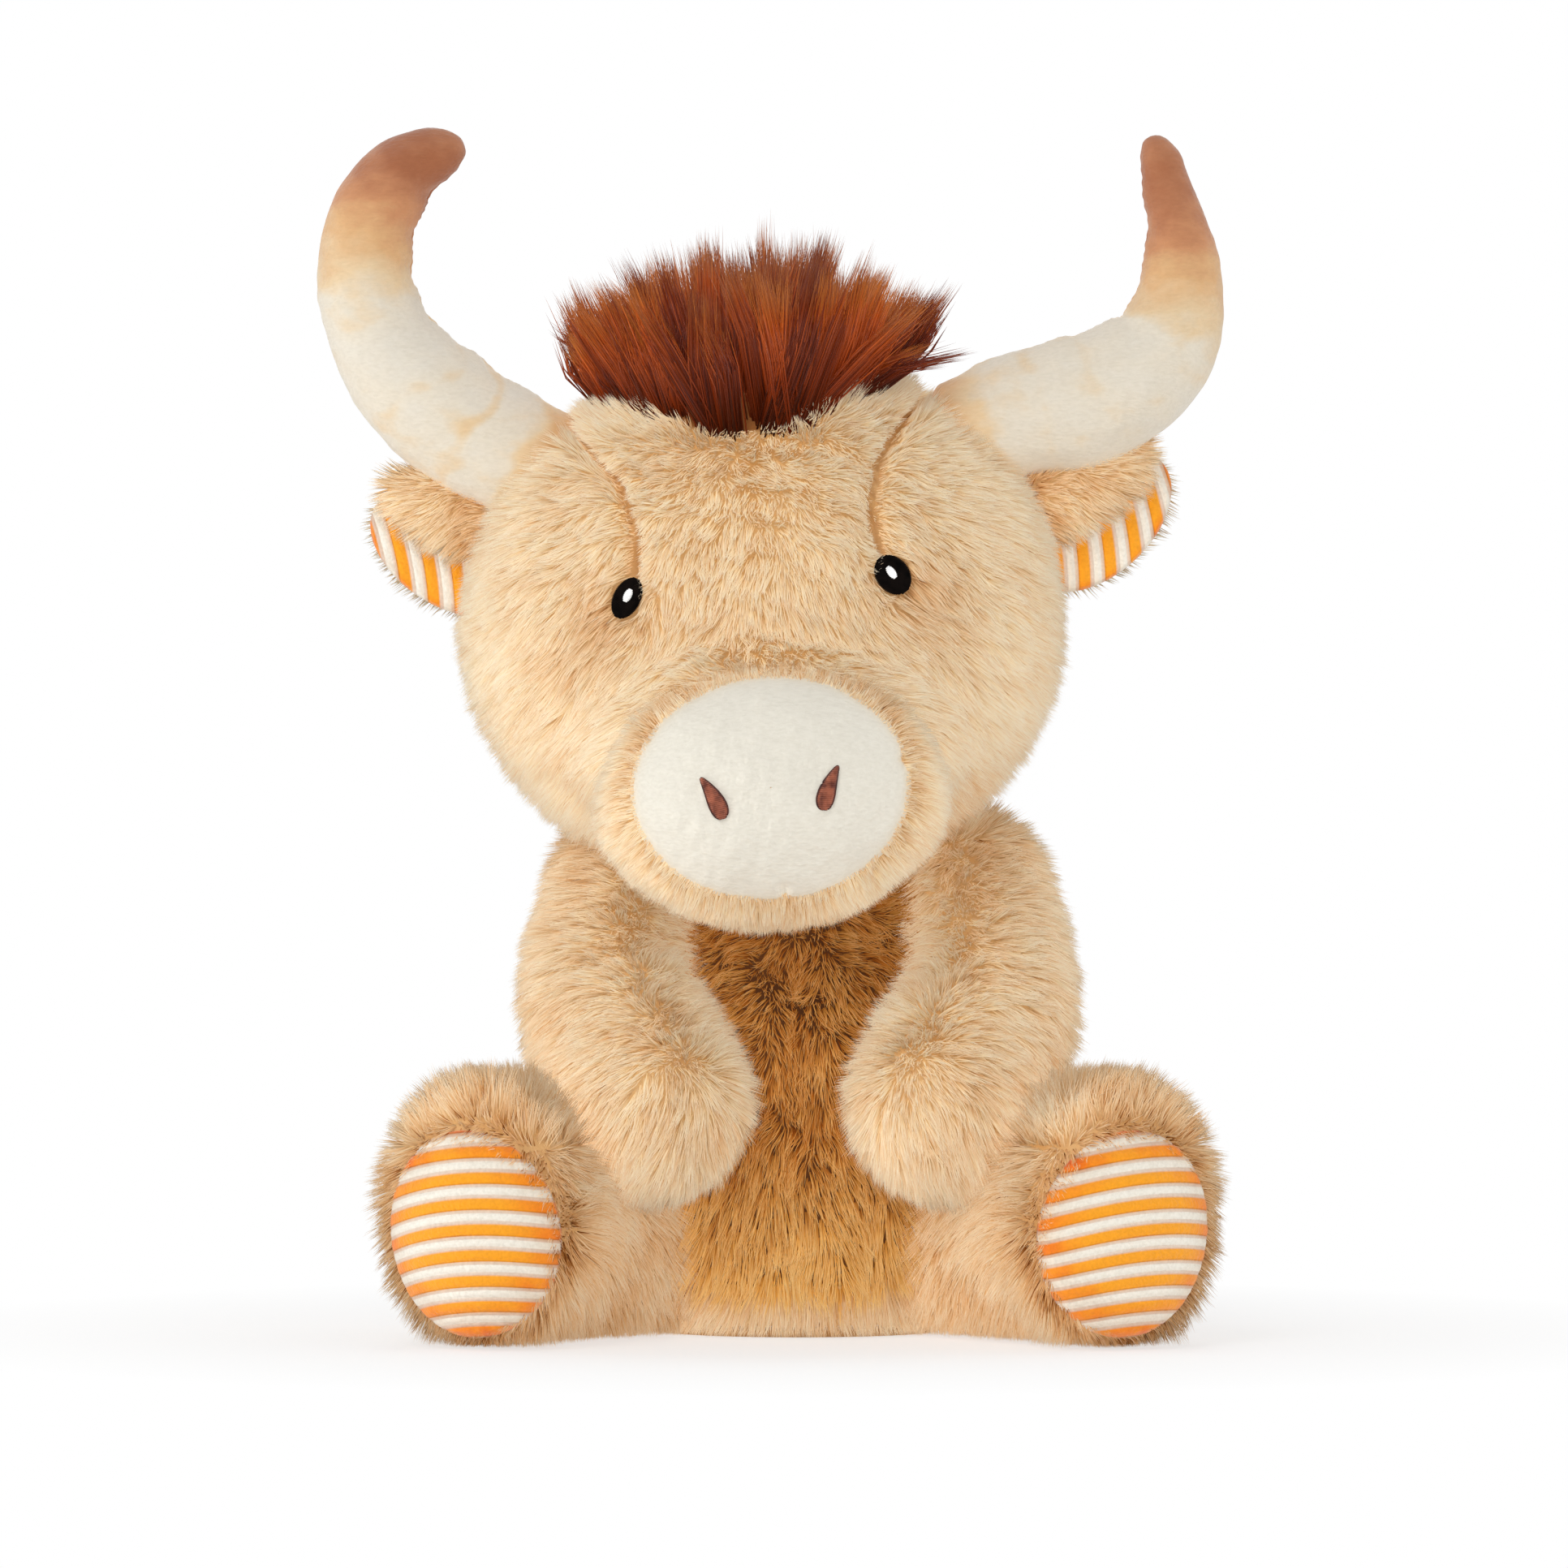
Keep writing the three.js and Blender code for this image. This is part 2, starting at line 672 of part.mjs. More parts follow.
function makeHorns(skull) {
  for (const [name, side, shape] of [['left', -1, leftHorn], ['right', 1, rightHorn]]) {
    const horn = solid(hornForm(side, shape, { sides: 12, rings: 14 }))
      .subtract(met([skull], hornPoses(side)));
    headGroup.add(piece(`horn_${name}`, horn, velour));
  }
}

// The middle of an ear and the root where it is sewn on, in the head's frame.
const earMiddle = (side) => (side < 0
  ? new THREE.Vector3(-leftEarOut, earBack - headForward, hornSeatHeight - leftEarBelowHorn)
  : new THREE.Vector3(rightEarOut, earBack - headForward, hornSeatHeight - rightEarBelowHorn));
const earRoot = (side) => earMiddle(side).addScaledVector(alongX, (-side * earHalfLength) / 2);
const earPoses = (side) => steps(-earFlopDegrees, earFlopDegrees, 3)
  .map((flop) => turn(earRoot(side), alongY, flop));

// A leaf across the viewer's plane, thin from front to back.
function leafForm(middle, halfLength, halfHeight, halfThickness, detail) {
  const reach = alongX.clone().multiplyScalar(halfLength);
  return stuffed(
    new THREE.LineCurve3(middle.clone().sub(reach), middle.clone().add(reach)),
    (t) => halfThickness * rounded(t, domeShare, domeShare),
    (t) => halfHeight * rounded(t, domeShare, domeShare),
    alongZ,
    detail,
  );
}

// Ears: the fur leaf lies in front of the upper part of the lining leaf.
function makeEars(skull) {
  for (const [name, side, shape] of [['left', -1, leftHorn], ['right', 1, rightHorn]]) {
    const middle = earMiddle(side);
    const liningMiddle = middle.clone().add(new THREE.Vector3(
      side * liningOut,
      earHalfThickness,
      -liningDrop,
    ));
    const detail = { sides: 14, rings: 8 };
    const leaf = leafForm(middle, earHalfLength, earHalfHeight, earHalfThickness, detail);
    const lining = leafForm(liningMiddle, liningHalfLength, liningHalfHeight, liningHalfThickness, detail);
    const horn = grown(hornForm(side, shape, { sides: 10, rings: 10 }), movingRoom);
    const swaying = hornPoses(side).map((pose) => horn.clone().applyMatrix4(pose));
    const cuts = met([skull, ...swaying], earPoses(side));
    headGroup.add(
      piece(`ear_${name}`, solid(leaf).subtract(cuts), tanFur),
      piece(`ear_lining_${name}`, solid(lining).subtract(solid(grown(leaf, clearance))).subtract(cuts),
        stripedVelour),
    );
  }
}

// Arms, cut by the torso and by the head through every movement.
function makeArms(group) {
  const torso = grown(torsoForm(torsoDetail), motionRoom);
  for (const [name, side] of [['left', -1], ['right', 1]]) {
    const arm = solid(armForm(side, { sides: 14, rings: 10 }))
      .subtract(met([torso, headRoomForm], armPoses(side)));
    group.add(piece(`arm_${name}`, arm, tanFur));
  }
}

// Legs, cut by the torso and the arms through every movement, with a striped sole on each foot.
function makeLegs(group) {
  const torso = grown(torsoForm(torsoDetail), motionRoom);
  for (const [name, side] of [['left', -1], ['right', 1]]) {
    const form = legForm(side, { sides: 16, rings: 12 });
    const cuts = met([torso, ...armRoomForms(side)], legPoses(side));
    const soleMiddle = footHalfHeight - floorSquash - soleDrop;
    const solePrism = (margin) => forwardPrism(
      ellipse(0, soleMiddle, soleHalfWidth + margin, soleHalfHeight + margin),
      side * footTurnDegrees,
    ).translate(side * footOut, -footForward, 0);
    const sole = layer(form, solePrism(0), -soleThickness, 0).subtract(below(0)).subtract(cuts);
    const leg = solid(form)
      .subtract(layer(form, solePrism(clearance), -soleThickness - clearance, overrun))
      .subtract(below(0))
      .subtract(cuts);
    group.add(piece(`leg_${name}`, leg, tanFur), piece(`sole_${name}`, sole, stripedVelour));
  }
}

// Tail at the middle of the back, with a tuft on its end.
function makeTail(group) {
  const standing = torsoHalfDepth + tailStandOff;
  const root = new THREE.Vector3(0, standing - tailHalfWidth, tailRootHeight);
  const bend = new THREE.Vector3(0, standing, tailRootHeight - tailLength / 2);
  const tip = new THREE.Vector3(0, standing, tailRootHeight - tailLength);
  const tuftEnd = tip.clone().addScaledVector(alongZ, -tailTuftLength);
  const torso = grown(torsoForm(torsoDetail), motionRoom);
  const poses = steps(-tailSwingDegrees, tailSwingDegrees, 5).map((swing) => turn(root, alongY, swing));
  const cuts = met([torso], poses);
  const inwards = root.clone().addScaledVector(alongY, -tailStandOff - tailHalfWidth);
  const radius = (t) => tailHalfWidth * rounded(t, tailRoundShare, tailRoundShare);
  const cord = stuffed(
    new THREE.CatmullRomCurve3([inwards, root, bend, tip]),
    radius,
    radius,
    alongY,
    { sides: 10, rings: 10 },
  );
  const tuft = stuffed(
    new THREE.LineCurve3(tip.clone().addScaledVector(alongZ, tailTuftHalfWidth), tuftEnd),
    (t) => tailTuftHalfWidth * rounded(t, tuftRootShare, tuftTipShare),
    (t) => tailTuftHalfWidth * rounded(t, tuftRootShare, tuftTipShare),
    alongY,
    { sides: 14, rings: 10 },
  );
  group.add(
    piece('tail', solid(cord).subtract(cuts), tanFur),
    piece('tail_tuft', solid(tuft).subtract(solid(grown(cord, clearance))).subtract(cuts), hairFibre),
  );
}

const cow = new THREE.Group();
const skullForm = headForm({ sides: 26, rings: 13 });
const skullCut = grown(skullForm, clearance);
makeTorso(cow);
makeNeck(cow);
makeSkull(skullForm);
makeMuzzle(solid(skullCut));
makeEyes(skullForm);
makeTuft(skullForm);
makeHorns(skullCut);
makeEars(skullCut);
makeArms(cow);
makeLegs(cow);
makeTail(cow);
cow.add(headGroup);

export default cow;
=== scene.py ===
"""A seated plush highland cow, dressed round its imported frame. Metres, +Z up, the face looks along -Y."""
import math

import bpy
import numpy as np
from mathutils import Matrix, Vector, kdtree
from mathutils.bvhtree import BVHTree


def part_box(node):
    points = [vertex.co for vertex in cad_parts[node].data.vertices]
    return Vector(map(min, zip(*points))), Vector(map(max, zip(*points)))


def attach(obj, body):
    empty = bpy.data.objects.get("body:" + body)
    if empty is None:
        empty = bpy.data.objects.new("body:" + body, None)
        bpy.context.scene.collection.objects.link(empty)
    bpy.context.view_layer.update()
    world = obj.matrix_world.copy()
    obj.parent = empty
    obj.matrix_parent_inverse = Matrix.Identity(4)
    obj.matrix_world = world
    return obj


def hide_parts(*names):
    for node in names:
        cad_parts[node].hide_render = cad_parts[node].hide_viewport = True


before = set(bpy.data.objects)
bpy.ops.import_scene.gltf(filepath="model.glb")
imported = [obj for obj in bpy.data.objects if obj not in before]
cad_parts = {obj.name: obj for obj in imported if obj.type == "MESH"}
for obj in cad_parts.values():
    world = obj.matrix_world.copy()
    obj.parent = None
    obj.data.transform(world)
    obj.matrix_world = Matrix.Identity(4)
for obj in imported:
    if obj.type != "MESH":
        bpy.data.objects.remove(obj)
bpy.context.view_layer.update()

MM = 0.001
SIDES = {"left": -1, "right": 1}
DETAIL = 1

# Sizes of the frame's forms, in millimetres.
TORSO_HALF = (56, 47)
TORSO_LOW, TORSO_HIGH = -18, 128
TORSO_SHARES = (1.04, 1.06, 1.0, 0.94, 0.92)
HEAD_HALF = (74.5, 56)
HEAD_LOW, HEAD_HIGH = -11, 127
HEAD_FORWARD = 11
HEAD_WIDTH_SHARES = (0.84, 0.95, 1.0, 1.01, 1.02)
HEAD_DEPTH_SHARES = (0.92, 1.0, 1.02, 1.0, 0.98)
NECK = (-3.9, 0, 121.7)
HEAD_ROLL = math.radians(5)
MUZZLE_HALF = (41, 30.5)
MUZZLE_MIDDLE = (-1.6, 15)
MUZZLE_START, MUZZLE_END = -39, -97
SNOUT_HALF = (34.5, 28)
SNOUT_RISE = 1.4
EYE_OUT, EYE_HEIGHT = 33, 66.2
EYE_HALVES = {"left": (3.5, 5.3), "right": (4.3, 5.2)}
EYE_LEAN = math.radians(-32)
HIGHLIGHT_HALF = (0.95, 1.7)
HORN_RISE = 84
HORN_HALF_WIDTH = 16.6
HORN_SEAT = (51.3, 102.5)
HORNS = {
    "left": {
        "spine": ((-0.08, -0.06), (0.23, 0.14), (0.42, 0.35), (0.49, 0.57), (0.46, 0.77), (0.36, 0.91),
                  (0.16, 0.992)),
        "width": (0.88, 0.96, 0.96, 0.8, 0.71, 0.6, 0.34),
    },
    "right": {
        "spine": ((-0.04, -0.06), (0.18, 0.02), (0.46, 0.067), (0.67, 0.205), (0.736, 0.437), (0.723, 0.625),
                  (0.687, 0.83)),
        "width": (0.88, 0.94, 1.02, 0.88, 0.66, 0.42, 0.3),
    },
}
EAR_HALF = (24, 14.5, 6.5)
EAR_TILT = math.radians(24)
EAR_MIDDLE = {"left": (-74, -9, 90), "right": (83, -9, 83.5)}
LINING_SHOWN, LINING_TILT = (22, 13.5), math.radians(38)
LINING_OFFSET = (4.0, 6.5, -7)
SHOULDER, ELBOW, PAW = (43, 0, 113), (47, -29, 84), (35, -55, 59)
SHOULDER_HALF, PAW_HALF = 19, 22.5
HIP, FOOT = (33, -8, 24), (79, -78, 33)
HIP_HALF, FOOT_HALF = (23, 25), (25.5, 34)
FOOT_CAP, FOOT_TURN = 12, math.radians(22)
SOLE_HALF, SOLE_DROP = (22.5, 25.5), 4.4

# Sizes of the cloth and the pile, in millimetres.
INSET = 3.0
LEG_SLIM, LIMB_INSET = 7, 1.2
EAR_INSET, EAR_SHIFT, EAR_HEIGHT_SHARE = 1.6, (-3, 0, 2), 0.78
EAR_BACK_SHIFT, EAR_BACK_HALF, EAR_BACK_INSET = 1.8, 2.4, 0.9
BELLY_HALF, BELLY_RANGE = 36, (12, 118)
COLLAR_HALF, COLLAR_BACK, COLLAR_RANGE = (32, 25), -3, (106, 138)
CLOTH_FLOOR, PILE_FLOOR = 3, 3.4
SEAT_HIDDEN = 5
TAIL_HALF, TAIL_HAIRS, TAIL_HAIR_WIDTH = 3.2, 900, 0.3
# How deep in a neighbour pile still grows, so that no pose bares the backing.
PILE_UNDER = 11

HEAD_FRAME = Matrix.Translation(Vector(NECK)) @ Matrix.Rotation(-HEAD_ROLL, 4, "Y")


# Curves and forms.

def unit(v):
    return v / np.maximum(np.linalg.norm(v, axis=-1, keepdims=True), 1e-12)


def mirrored(side, place):
    """A place on the right, or its mirror image on the left."""
    return np.array((side * place[0], place[1], place[2]), float)


def climb(x, start, end):
    """Rises evenly from 0 at a start to 1 at an end."""
    return np.clip((x - start) / (end - start), 0, 1)


def bump(x, width, centre=0.0):
    """1 at a centre, falling off smoothly to both sides."""
    return np.exp(-((x - centre) / width) ** 2)


def along(shares):
    """A smooth value along 0 to 1 from evenly spaced shares."""
    p = np.array((shares[0], *shares, shares[-1]), float)

    def value(t):
        place = np.clip(np.asarray(t, float), 0, 1) * (len(shares) - 1)
        i = np.minimum(place.astype(int), len(shares) - 2)
        f = place - i
        a, b, c, d = p[i], p[i + 1], p[i + 2], p[i + 3]
        return b + 0.5 * f * (c - a + f * (2 * a - 5 * b + 4 * c - d + f * (3 * (b - c) + d - a)))

    return value


def rounded(t, start, end):
    """Rounds a form off at both ends: 0 at an end, 1 past the rounded part."""
    t = np.asarray(t, float)
    inwards = np.clip(np.minimum(t / start, (1 - t) / end), 0, 1)
    return np.sqrt(1 - (1 - inwards) ** 2)


def spline(points, count=400):
    """Evenly spaced points along a centripetal Catmull-Rom curve, and its length."""
    p = [np.array(q, float) for q in points]
    p = [2 * p[0] - p[1], *p, 2 * p[-1] - p[-2]]
    path = []
    for i in range(1, len(p) - 2):
        a, b, c, d = p[i - 1:i + 3]
        da, db, dc = (max(np.linalg.norm(v) ** 0.5, 1e-6) for v in (b - a, c - b, d - c))
        m1 = ((b - a) / da - (c - a) / (da + db) + (c - b) / db) * db
        m2 = ((c - b) / db - (d - b) / (db + dc) + (d - c) / dc) * db
        for s in np.linspace(0, 1, 60, endpoint=i == len(p) - 3):
            path.append(b + m1 * s + (3 * (c - b) - 2 * m1 - m2) * s * s + (2 * (b - c) + m1 + m2) * s ** 3)
    path = np.array(path)
    run = np.concatenate(([0], np.cumsum(np.linalg.norm(np.diff(path, axis=0), axis=1))))
    even = np.linspace(0, run[-1], count)
    return np.stack([np.interp(even, run, path[:, k]) for k in range(3)], axis=1), run[-1]


class Form:
    """A stuffed form: rings of points round a spine, closed by a point at each end."""

    def __init__(self, spine, half_width, half_height, up, sides=96, rings=72):
        t = (1 - np.cos(np.linspace(0, math.pi, rings + 1)[1:-1])) / 2

        def on_spine(values):
            where, known = t * (len(spine) - 1), np.arange(len(spine))
            return np.stack([np.interp(where, known, values[:, k]) for k in range(3)], axis=1)

        centre, tangent = on_spine(spine), unit(on_spine(np.gradient(spine, axis=0)))
        across = unit(np.cross(np.array(up, float), tangent))
        upright = np.cross(tangent, across)
        angle = np.arange(sides) * 2 * math.pi / sides
        wide = (half_width(t)[:, None] * np.cos(angle))[..., None]
        tall = (half_height(t)[:, None] * np.sin(angle))[..., None]
        body = centre[:, None] + across[:, None] * wide + upright[:, None] * tall
        self.points = np.concatenate((spine[:1], body.reshape(-1, 3), spine[-1:]))
        ring = 1 + np.arange(rings - 2)[:, None] * sides
        a, b = np.arange(sides), (np.arange(sides) + 1) % sides
        lower = np.stack((ring + a, ring + b, ring + sides + a), axis=-1).reshape(-1, 3)
        upper = np.stack((ring + b, ring + sides + b, ring + sides + a), axis=-1).reshape(-1, 3)
        last, top = len(self.points) - 1, 1 + (rings - 2) * sides
        first_cap = np.stack((np.zeros(sides, int), 1 + b, 1 + a), axis=1)
        last_cap = np.stack((np.full(sides, last), top + a, top + b), axis=1)
        self.faces = np.concatenate((first_cap, lower, upper, last_cap))
        self.run = np.concatenate(([0], np.repeat(t, sides), [1]))
        self.turn = np.concatenate(([0], np.tile(angle, len(t)), [0]))

    def normals(self):
        p, f = self.points, self.faces
        face = np.cross(p[f[:, 1]] - p[f[:, 0]], p[f[:, 2]] - p[f[:, 0]])
        total = np.zeros_like(p)
        for k in range(3):
            np.add.at(total, f[:, k], face)
        return unit(total)

    def grow(self, amount):
        self.points = self.points + self.normals() * amount
        return self

    def move(self, shift):
        """Moves the surface along its normals by a function of its points."""
        self.points = self.points + self.normals() * shift(self.points)[:, None]
        return self

    def placed(self, matrix):
        m = np.array(matrix)
        self.points = self.points @ m[:3, :3].T + m[:3, 3]
        return self

    def above(self, height):
        """Lays what hangs below a height flat on it."""
        self.points[:, 2] = np.maximum(self.points[:, 2], height)
        return self


def upright_form(low, high, half, y, width_shares, depth_shares, **detail):
    """An upright form whose width and depth follow shares from its low to its high end."""
    spine = np.linspace((0, y, low), (0, y, high), 200)
    width, depth = along(width_shares), along(depth_shares)
    return Form(spine, lambda t: half[0] * width(t) * rounded(t, 0.5, 0.5),
                lambda t: half[1] * depth(t) * rounded(t, 0.5, 0.5), (0, 1, 0), **detail)


def straight_form(start, end, half, caps, up, sides, rings):
    """A form round a straight spine: half its width and height, and the rounded share at each end."""
    def size(k):
        return lambda t: half[k] * rounded(t, *caps)

    return Form(np.linspace(start, end, 60), size(0), size(1), up, sides, rings)


def head_form(**detail):
    return upright_form(HEAD_LOW, HEAD_HIGH, HEAD_HALF, -HEAD_FORWARD, HEAD_WIDTH_SHARES,
                        HEAD_DEPTH_SHARES, **detail)


def torso_form(**detail):
    return upright_form(TORSO_LOW, TORSO_HIGH, TORSO_HALF, 0, TORSO_SHARES, TORSO_SHARES, **detail)


def torso_cloth(outwards=0.0):
    """The torso's backing, which lies flat on the ground."""
    return torso_form(sides=150, rings=120).grow(outwards - INSET).above(CLOTH_FLOOR)


def muzzle_form():
    start, end = ((MUZZLE_MIDDLE[0], y, MUZZLE_MIDDLE[1]) for y in (MUZZLE_START, MUZZLE_END))
    return straight_form(start, end, MUZZLE_HALF, (0.2, 0.5), (0, 0, 1), 140, 90)


def head_front(x, z):
    """How far back the head's front surface lies, in the head's frame."""
    t = np.clip((np.asarray(z, float) - HEAD_LOW) / (HEAD_HIGH - HEAD_LOW), 0.001, 0.999)
    round_off = rounded(t, 0.5, 0.5)
    wide = HEAD_HALF[0] * along(HEAD_WIDTH_SHARES)(t) * round_off
    deep = HEAD_HALF[1] * along(HEAD_DEPTH_SHARES)(t) * round_off
    return -HEAD_FORWARD - deep * np.sqrt(np.clip(1 - (np.asarray(x) / wide) ** 2, 0, 1))


def crown_height(x, y):
    """The height of the top of the head over a place on it."""
    reach = np.hypot(x / (HEAD_HALF[0] * HEAD_WIDTH_SHARES[-1]),
                     (y + HEAD_FORWARD) / (HEAD_HALF[1] * HEAD_DEPTH_SHARES[-1]))
    return HEAD_LOW + (HEAD_HIGH - HEAD_LOW) * (1 + np.sqrt(np.clip(1 - reach ** 2, 0, 1))) / 2


def muzzle_reach(x, z):
    """0 in the middle of the muzzle seen from the front, 1 at its rim."""
    return np.hypot((x - MUZZLE_MIDDLE[0]) / MUZZLE_HALF[0], (z - MUZZLE_MIDDLE[1]) / MUZZLE_HALF[1])


def muzzle_front(x, z):
    """How far forward the muzzle's front surface lies, in the head's frame."""
    t = 1 - (1 - np.sqrt(np.clip(1 - muzzle_reach(x, z) ** 2, 0, 1))) / 2
    return MUZZLE_START + (MUZZLE_END - MUZZLE_START) * t


def arm_form(side):
    """An arm along a bent line, with a round end at the shoulder and the paw."""
    p = [mirrored(side, place) for place in (SHOULDER, ELBOW, PAW)]
    start = p[0] + unit(p[0] - p[1]) * SHOULDER_HALF
    end = p[-1] + unit(p[-1] - p[-2]) * PAW_HALF
    spine, length = spline([start, *p, end])
    swell = along((1.0, 1.04, 1.06, 1.04, 1.0))

    def width(t):
        straight = SHOULDER_HALF + (PAW_HALF - SHOULDER_HALF) * t
        return straight * swell(t) * rounded(t, SHOULDER_HALF / length, PAW_HALF / length)

    return Form(spine, width, width, (0, 0, 1), 72, 64)


def foot_facing(side):
    return np.array((side * math.sin(FOOT_TURN), -math.cos(FOOT_TURN), 0))


def leg_form(side, slim=0.0):
    """A leg from the hip to the flat front of the foot, slimmer at the hip if wanted."""
    facing = foot_facing(side)
    hip, foot = mirrored(side, HIP), mirrored(side, FOOT)
    start = hip + unit(hip - foot) * HIP_HALF[0]
    spine, length = spline([start, hip, foot - facing * FOOT_HALF[0], foot, foot + facing * FOOT_CAP])

    def half(t, axis, thinner):
        size = HIP_HALF[axis] + (FOOT_HALF[axis] - HIP_HALF[axis]) * t - thinner * np.clip(1 - t / 0.75, 0, 1)
        return size * rounded(t, HIP_HALF[0] / length, 1.6 * FOOT_CAP / length)

    return Form(spine, lambda t: half(t, 0, slim), lambda t: half(t, 1, 0), (0, 0, 1), 80, 72)


def horn_form(name):
    """A horn that bends out and up, and narrows as its shares say."""
    side, shape = SIDES[name], HORNS[name]
    seat = np.array((side * HORN_SEAT[0], -HEAD_FORWARD, HORN_SEAT[1]))
    spine, _ = spline([seat + HORN_RISE * np.array((side * out, 0, rise)) for out, rise in shape["spine"]])
    width = along(shape["width"])

    def radius(t):
        return HORN_HALF_WIDTH * width(t) * rounded(t, 0.07, 0.07)

    return Form(spine, radius, radius, (0, 1, 0), 160, 260)


# Meshes.

# The slot of each material, by the material's short name.
BACKINGS = {"fur": "backing", "belly": "belly_backing"}


def box_mm(node):
    """The low and high corners of a node's box in millimetres."""
    return (np.array(corner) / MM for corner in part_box(node))


def mesh_object(name, kind, points, faces, body, matrix=None, uv=None, normals=None):
    """A smooth mesh in metres that rides on a body. Pile is shaded with the normals of the cloth under it."""
    mesh = bpy.data.meshes.new(name)
    faces = np.asarray(faces, np.int32)
    count, corners = faces.shape
    mesh.vertices.add(len(points))
    mesh.vertices.foreach_set("co", (np.asarray(points) * MM).astype(np.float32).ravel())
    mesh.loops.add(count * corners)
    mesh.loops.foreach_set("vertex_index", faces.ravel())
    mesh.polygons.add(count)
    mesh.polygons.foreach_set("loop_start", np.arange(0, count * corners, corners, dtype=np.int32))
    mesh.polygons.foreach_set("use_smooth", np.ones(count, bool))
    mesh.update(calc_edges=True)
    if uv is not None:
        layer = mesh.uv_layers.new(name="OFBake")
        layer.data.foreach_set("uv", uv.astype(np.float32).ravel())
    if normals is not None:
        layer = mesh.attributes.new("custom_normal", "FLOAT_VECTOR", "POINT")
        layer.data.foreach_set("vector", normals.astype(np.float32).ravel())
    if matrix is not None:
        in_metres = matrix.copy()
        in_metres.translation *= MM
        mesh.transform(in_metres)
    piece = bpy.data.objects.new(name, mesh)
    bpy.context.scene.collection.objects.link(piece)
    mesh.materials.append(MATERIALS[kind])
    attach(piece, body)
    return piece


def paint(piece, **marks):
    """Keeps one number for each point under each name, for the materials."""
    for name, values in marks.items():
        layer = piece.data.attributes.new(name, "FLOAT", "POINT")
        layer.data.foreach_set("value", np.asarray(values, np.float32))


def cloth_piece(name, kind, points, faces, body, fill, node=None, matrix=None):
    """A piece of cloth, which stands for a node of the frame if one is named."""
    piece = mesh_object(name, kind, points, faces, body, matrix)
    if node:
        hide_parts(node)
    return piece


def polar_grid(rings, columns):
    """Reach from almost 0 to 1 and angle, for the rings and columns of a round sheet."""
    columns = int(columns * DETAIL)
    return np.meshgrid(np.linspace(0.004, 1, int(rings * DETAIL)), np.arange(columns) * 2 * math.pi / columns,
                       indexing="ij")


def closed_sheet(top, bottom):
    """Points and faces of a closed sheet between two round grids of the same size."""
    rows, columns = top.shape[:2]
    points = np.concatenate((top.reshape(-1, 3), bottom.reshape(-1, 3)))
    under, outer = rows * columns, (rows - 1) * columns
    i, j = np.meshgrid(np.arange(rows - 1), np.arange(columns), indexing="ij")
    a, b = i * columns + j, i * columns + (j + 1) % columns
    c, d = b + columns, a + columns
    upper = np.stack((a, b, c, d), axis=-1).reshape(-1, 4)
    lower = np.stack((a, d, c, b), axis=-1).reshape(-1, 4) + under
    j = np.arange(columns)
    k = (j + 1) % columns
    rim = np.stack((outer + j, outer + k, under + outer + k, under + outer + j), axis=1)
    inner = np.stack((j, under + j, under + k, k), axis=1)
    return points, np.concatenate((upper, lower, rim, inner))


def cut_shell(form, chosen, thick):
    """Points and faces of a closed shell, cut out of a form where chosen is true."""
    faces = form.faces[chosen[form.faces].all(axis=1)]
    used = np.unique(faces)
    number = np.full(len(form.points), -1)
    number[used] = np.arange(len(used))
    faces = number[faces]
    top = form.points[used]
    inner = top - form.normals()[used] * thick
    edges = np.concatenate([faces[:, [0, 1]], faces[:, [1, 2]], faces[:, [2, 0]]])
    there = edges[:, 0] * len(used) + edges[:, 1]
    back = edges[:, 1] * len(used) + edges[:, 0]
    rim = edges[~np.isin(there, back)]
    under = rim + len(used)
    walls = [np.stack(corners, axis=1)
             for corners in ((rim[:, 1], rim[:, 0], under[:, 0]), (rim[:, 1], under[:, 0], under[:, 1]))]
    return np.concatenate((top, inner)), np.concatenate((faces, faces[:, ::-1] + len(used), *walls))


def tubes(paths, radius, sides=6):
    """Closed threads along paths, an array of thread, point and xyz."""
    paths = np.asarray(paths, float)
    count, steps = paths.shape[:2]
    tangent = unit(np.gradient(paths, axis=1))
    seed = np.where(np.abs(tangent[..., 2:3]) > 0.8, np.array((1.0, 0, 0)), np.array((0, 0, 1.0)))
    across = unit(np.cross(seed, tangent))
    upright = np.cross(tangent, across)
    thick = radius * rounded(np.linspace(0, 1, steps), 0.12, 0.12).clip(0.3, 1)
    angle = np.arange(sides) * 2 * math.pi / sides
    wide, tall = ((thick[:, None] * share)[None, ..., None] for share in (np.cos(angle), np.sin(angle)))
    rings = paths[:, :, None] + across[:, :, None] * wide + upright[:, :, None] * tall
    points = np.concatenate((rings.reshape(count, -1, 3), paths[:, :1], paths[:, -1:]), axis=1)
    faces = []
    for j in range(sides):
        k = (j + 1) % sides
        faces.append((steps * sides, k, j))
        faces.append((steps * sides + 1, (steps - 1) * sides + j, (steps - 1) * sides + k))
        for i in range(0, (steps - 1) * sides, sides):
            faces.append((i + j, i + k, i + sides + j))
            faces.append((i + k, i + sides + k, i + sides + j))
    faces = np.array(faces)[None] + (np.arange(count) * (steps * sides + 2))[:, None, None]
    return points.reshape(-1, 3), faces.reshape(-1, 3)


def ripple(points, size, seed):
    """Smooth noise between about -1 and 1, made of a few waves."""
    rng = np.random.default_rng(seed)
    total = np.zeros(len(points))
    for octave, weight in ((1.0, 0.5), (1.9, 0.3), (3.7, 0.2)):
        for _ in range(4):
            way = unit(rng.normal(size=3)) * 2 * math.pi * octave / size
            total += weight * np.sin(points @ way + rng.uniform(0, 2 * math.pi)) / 2
    return total


# Fur. A strand is a three-sided spike, straight or with one bend. Its map has tone as u, root to tip as v.

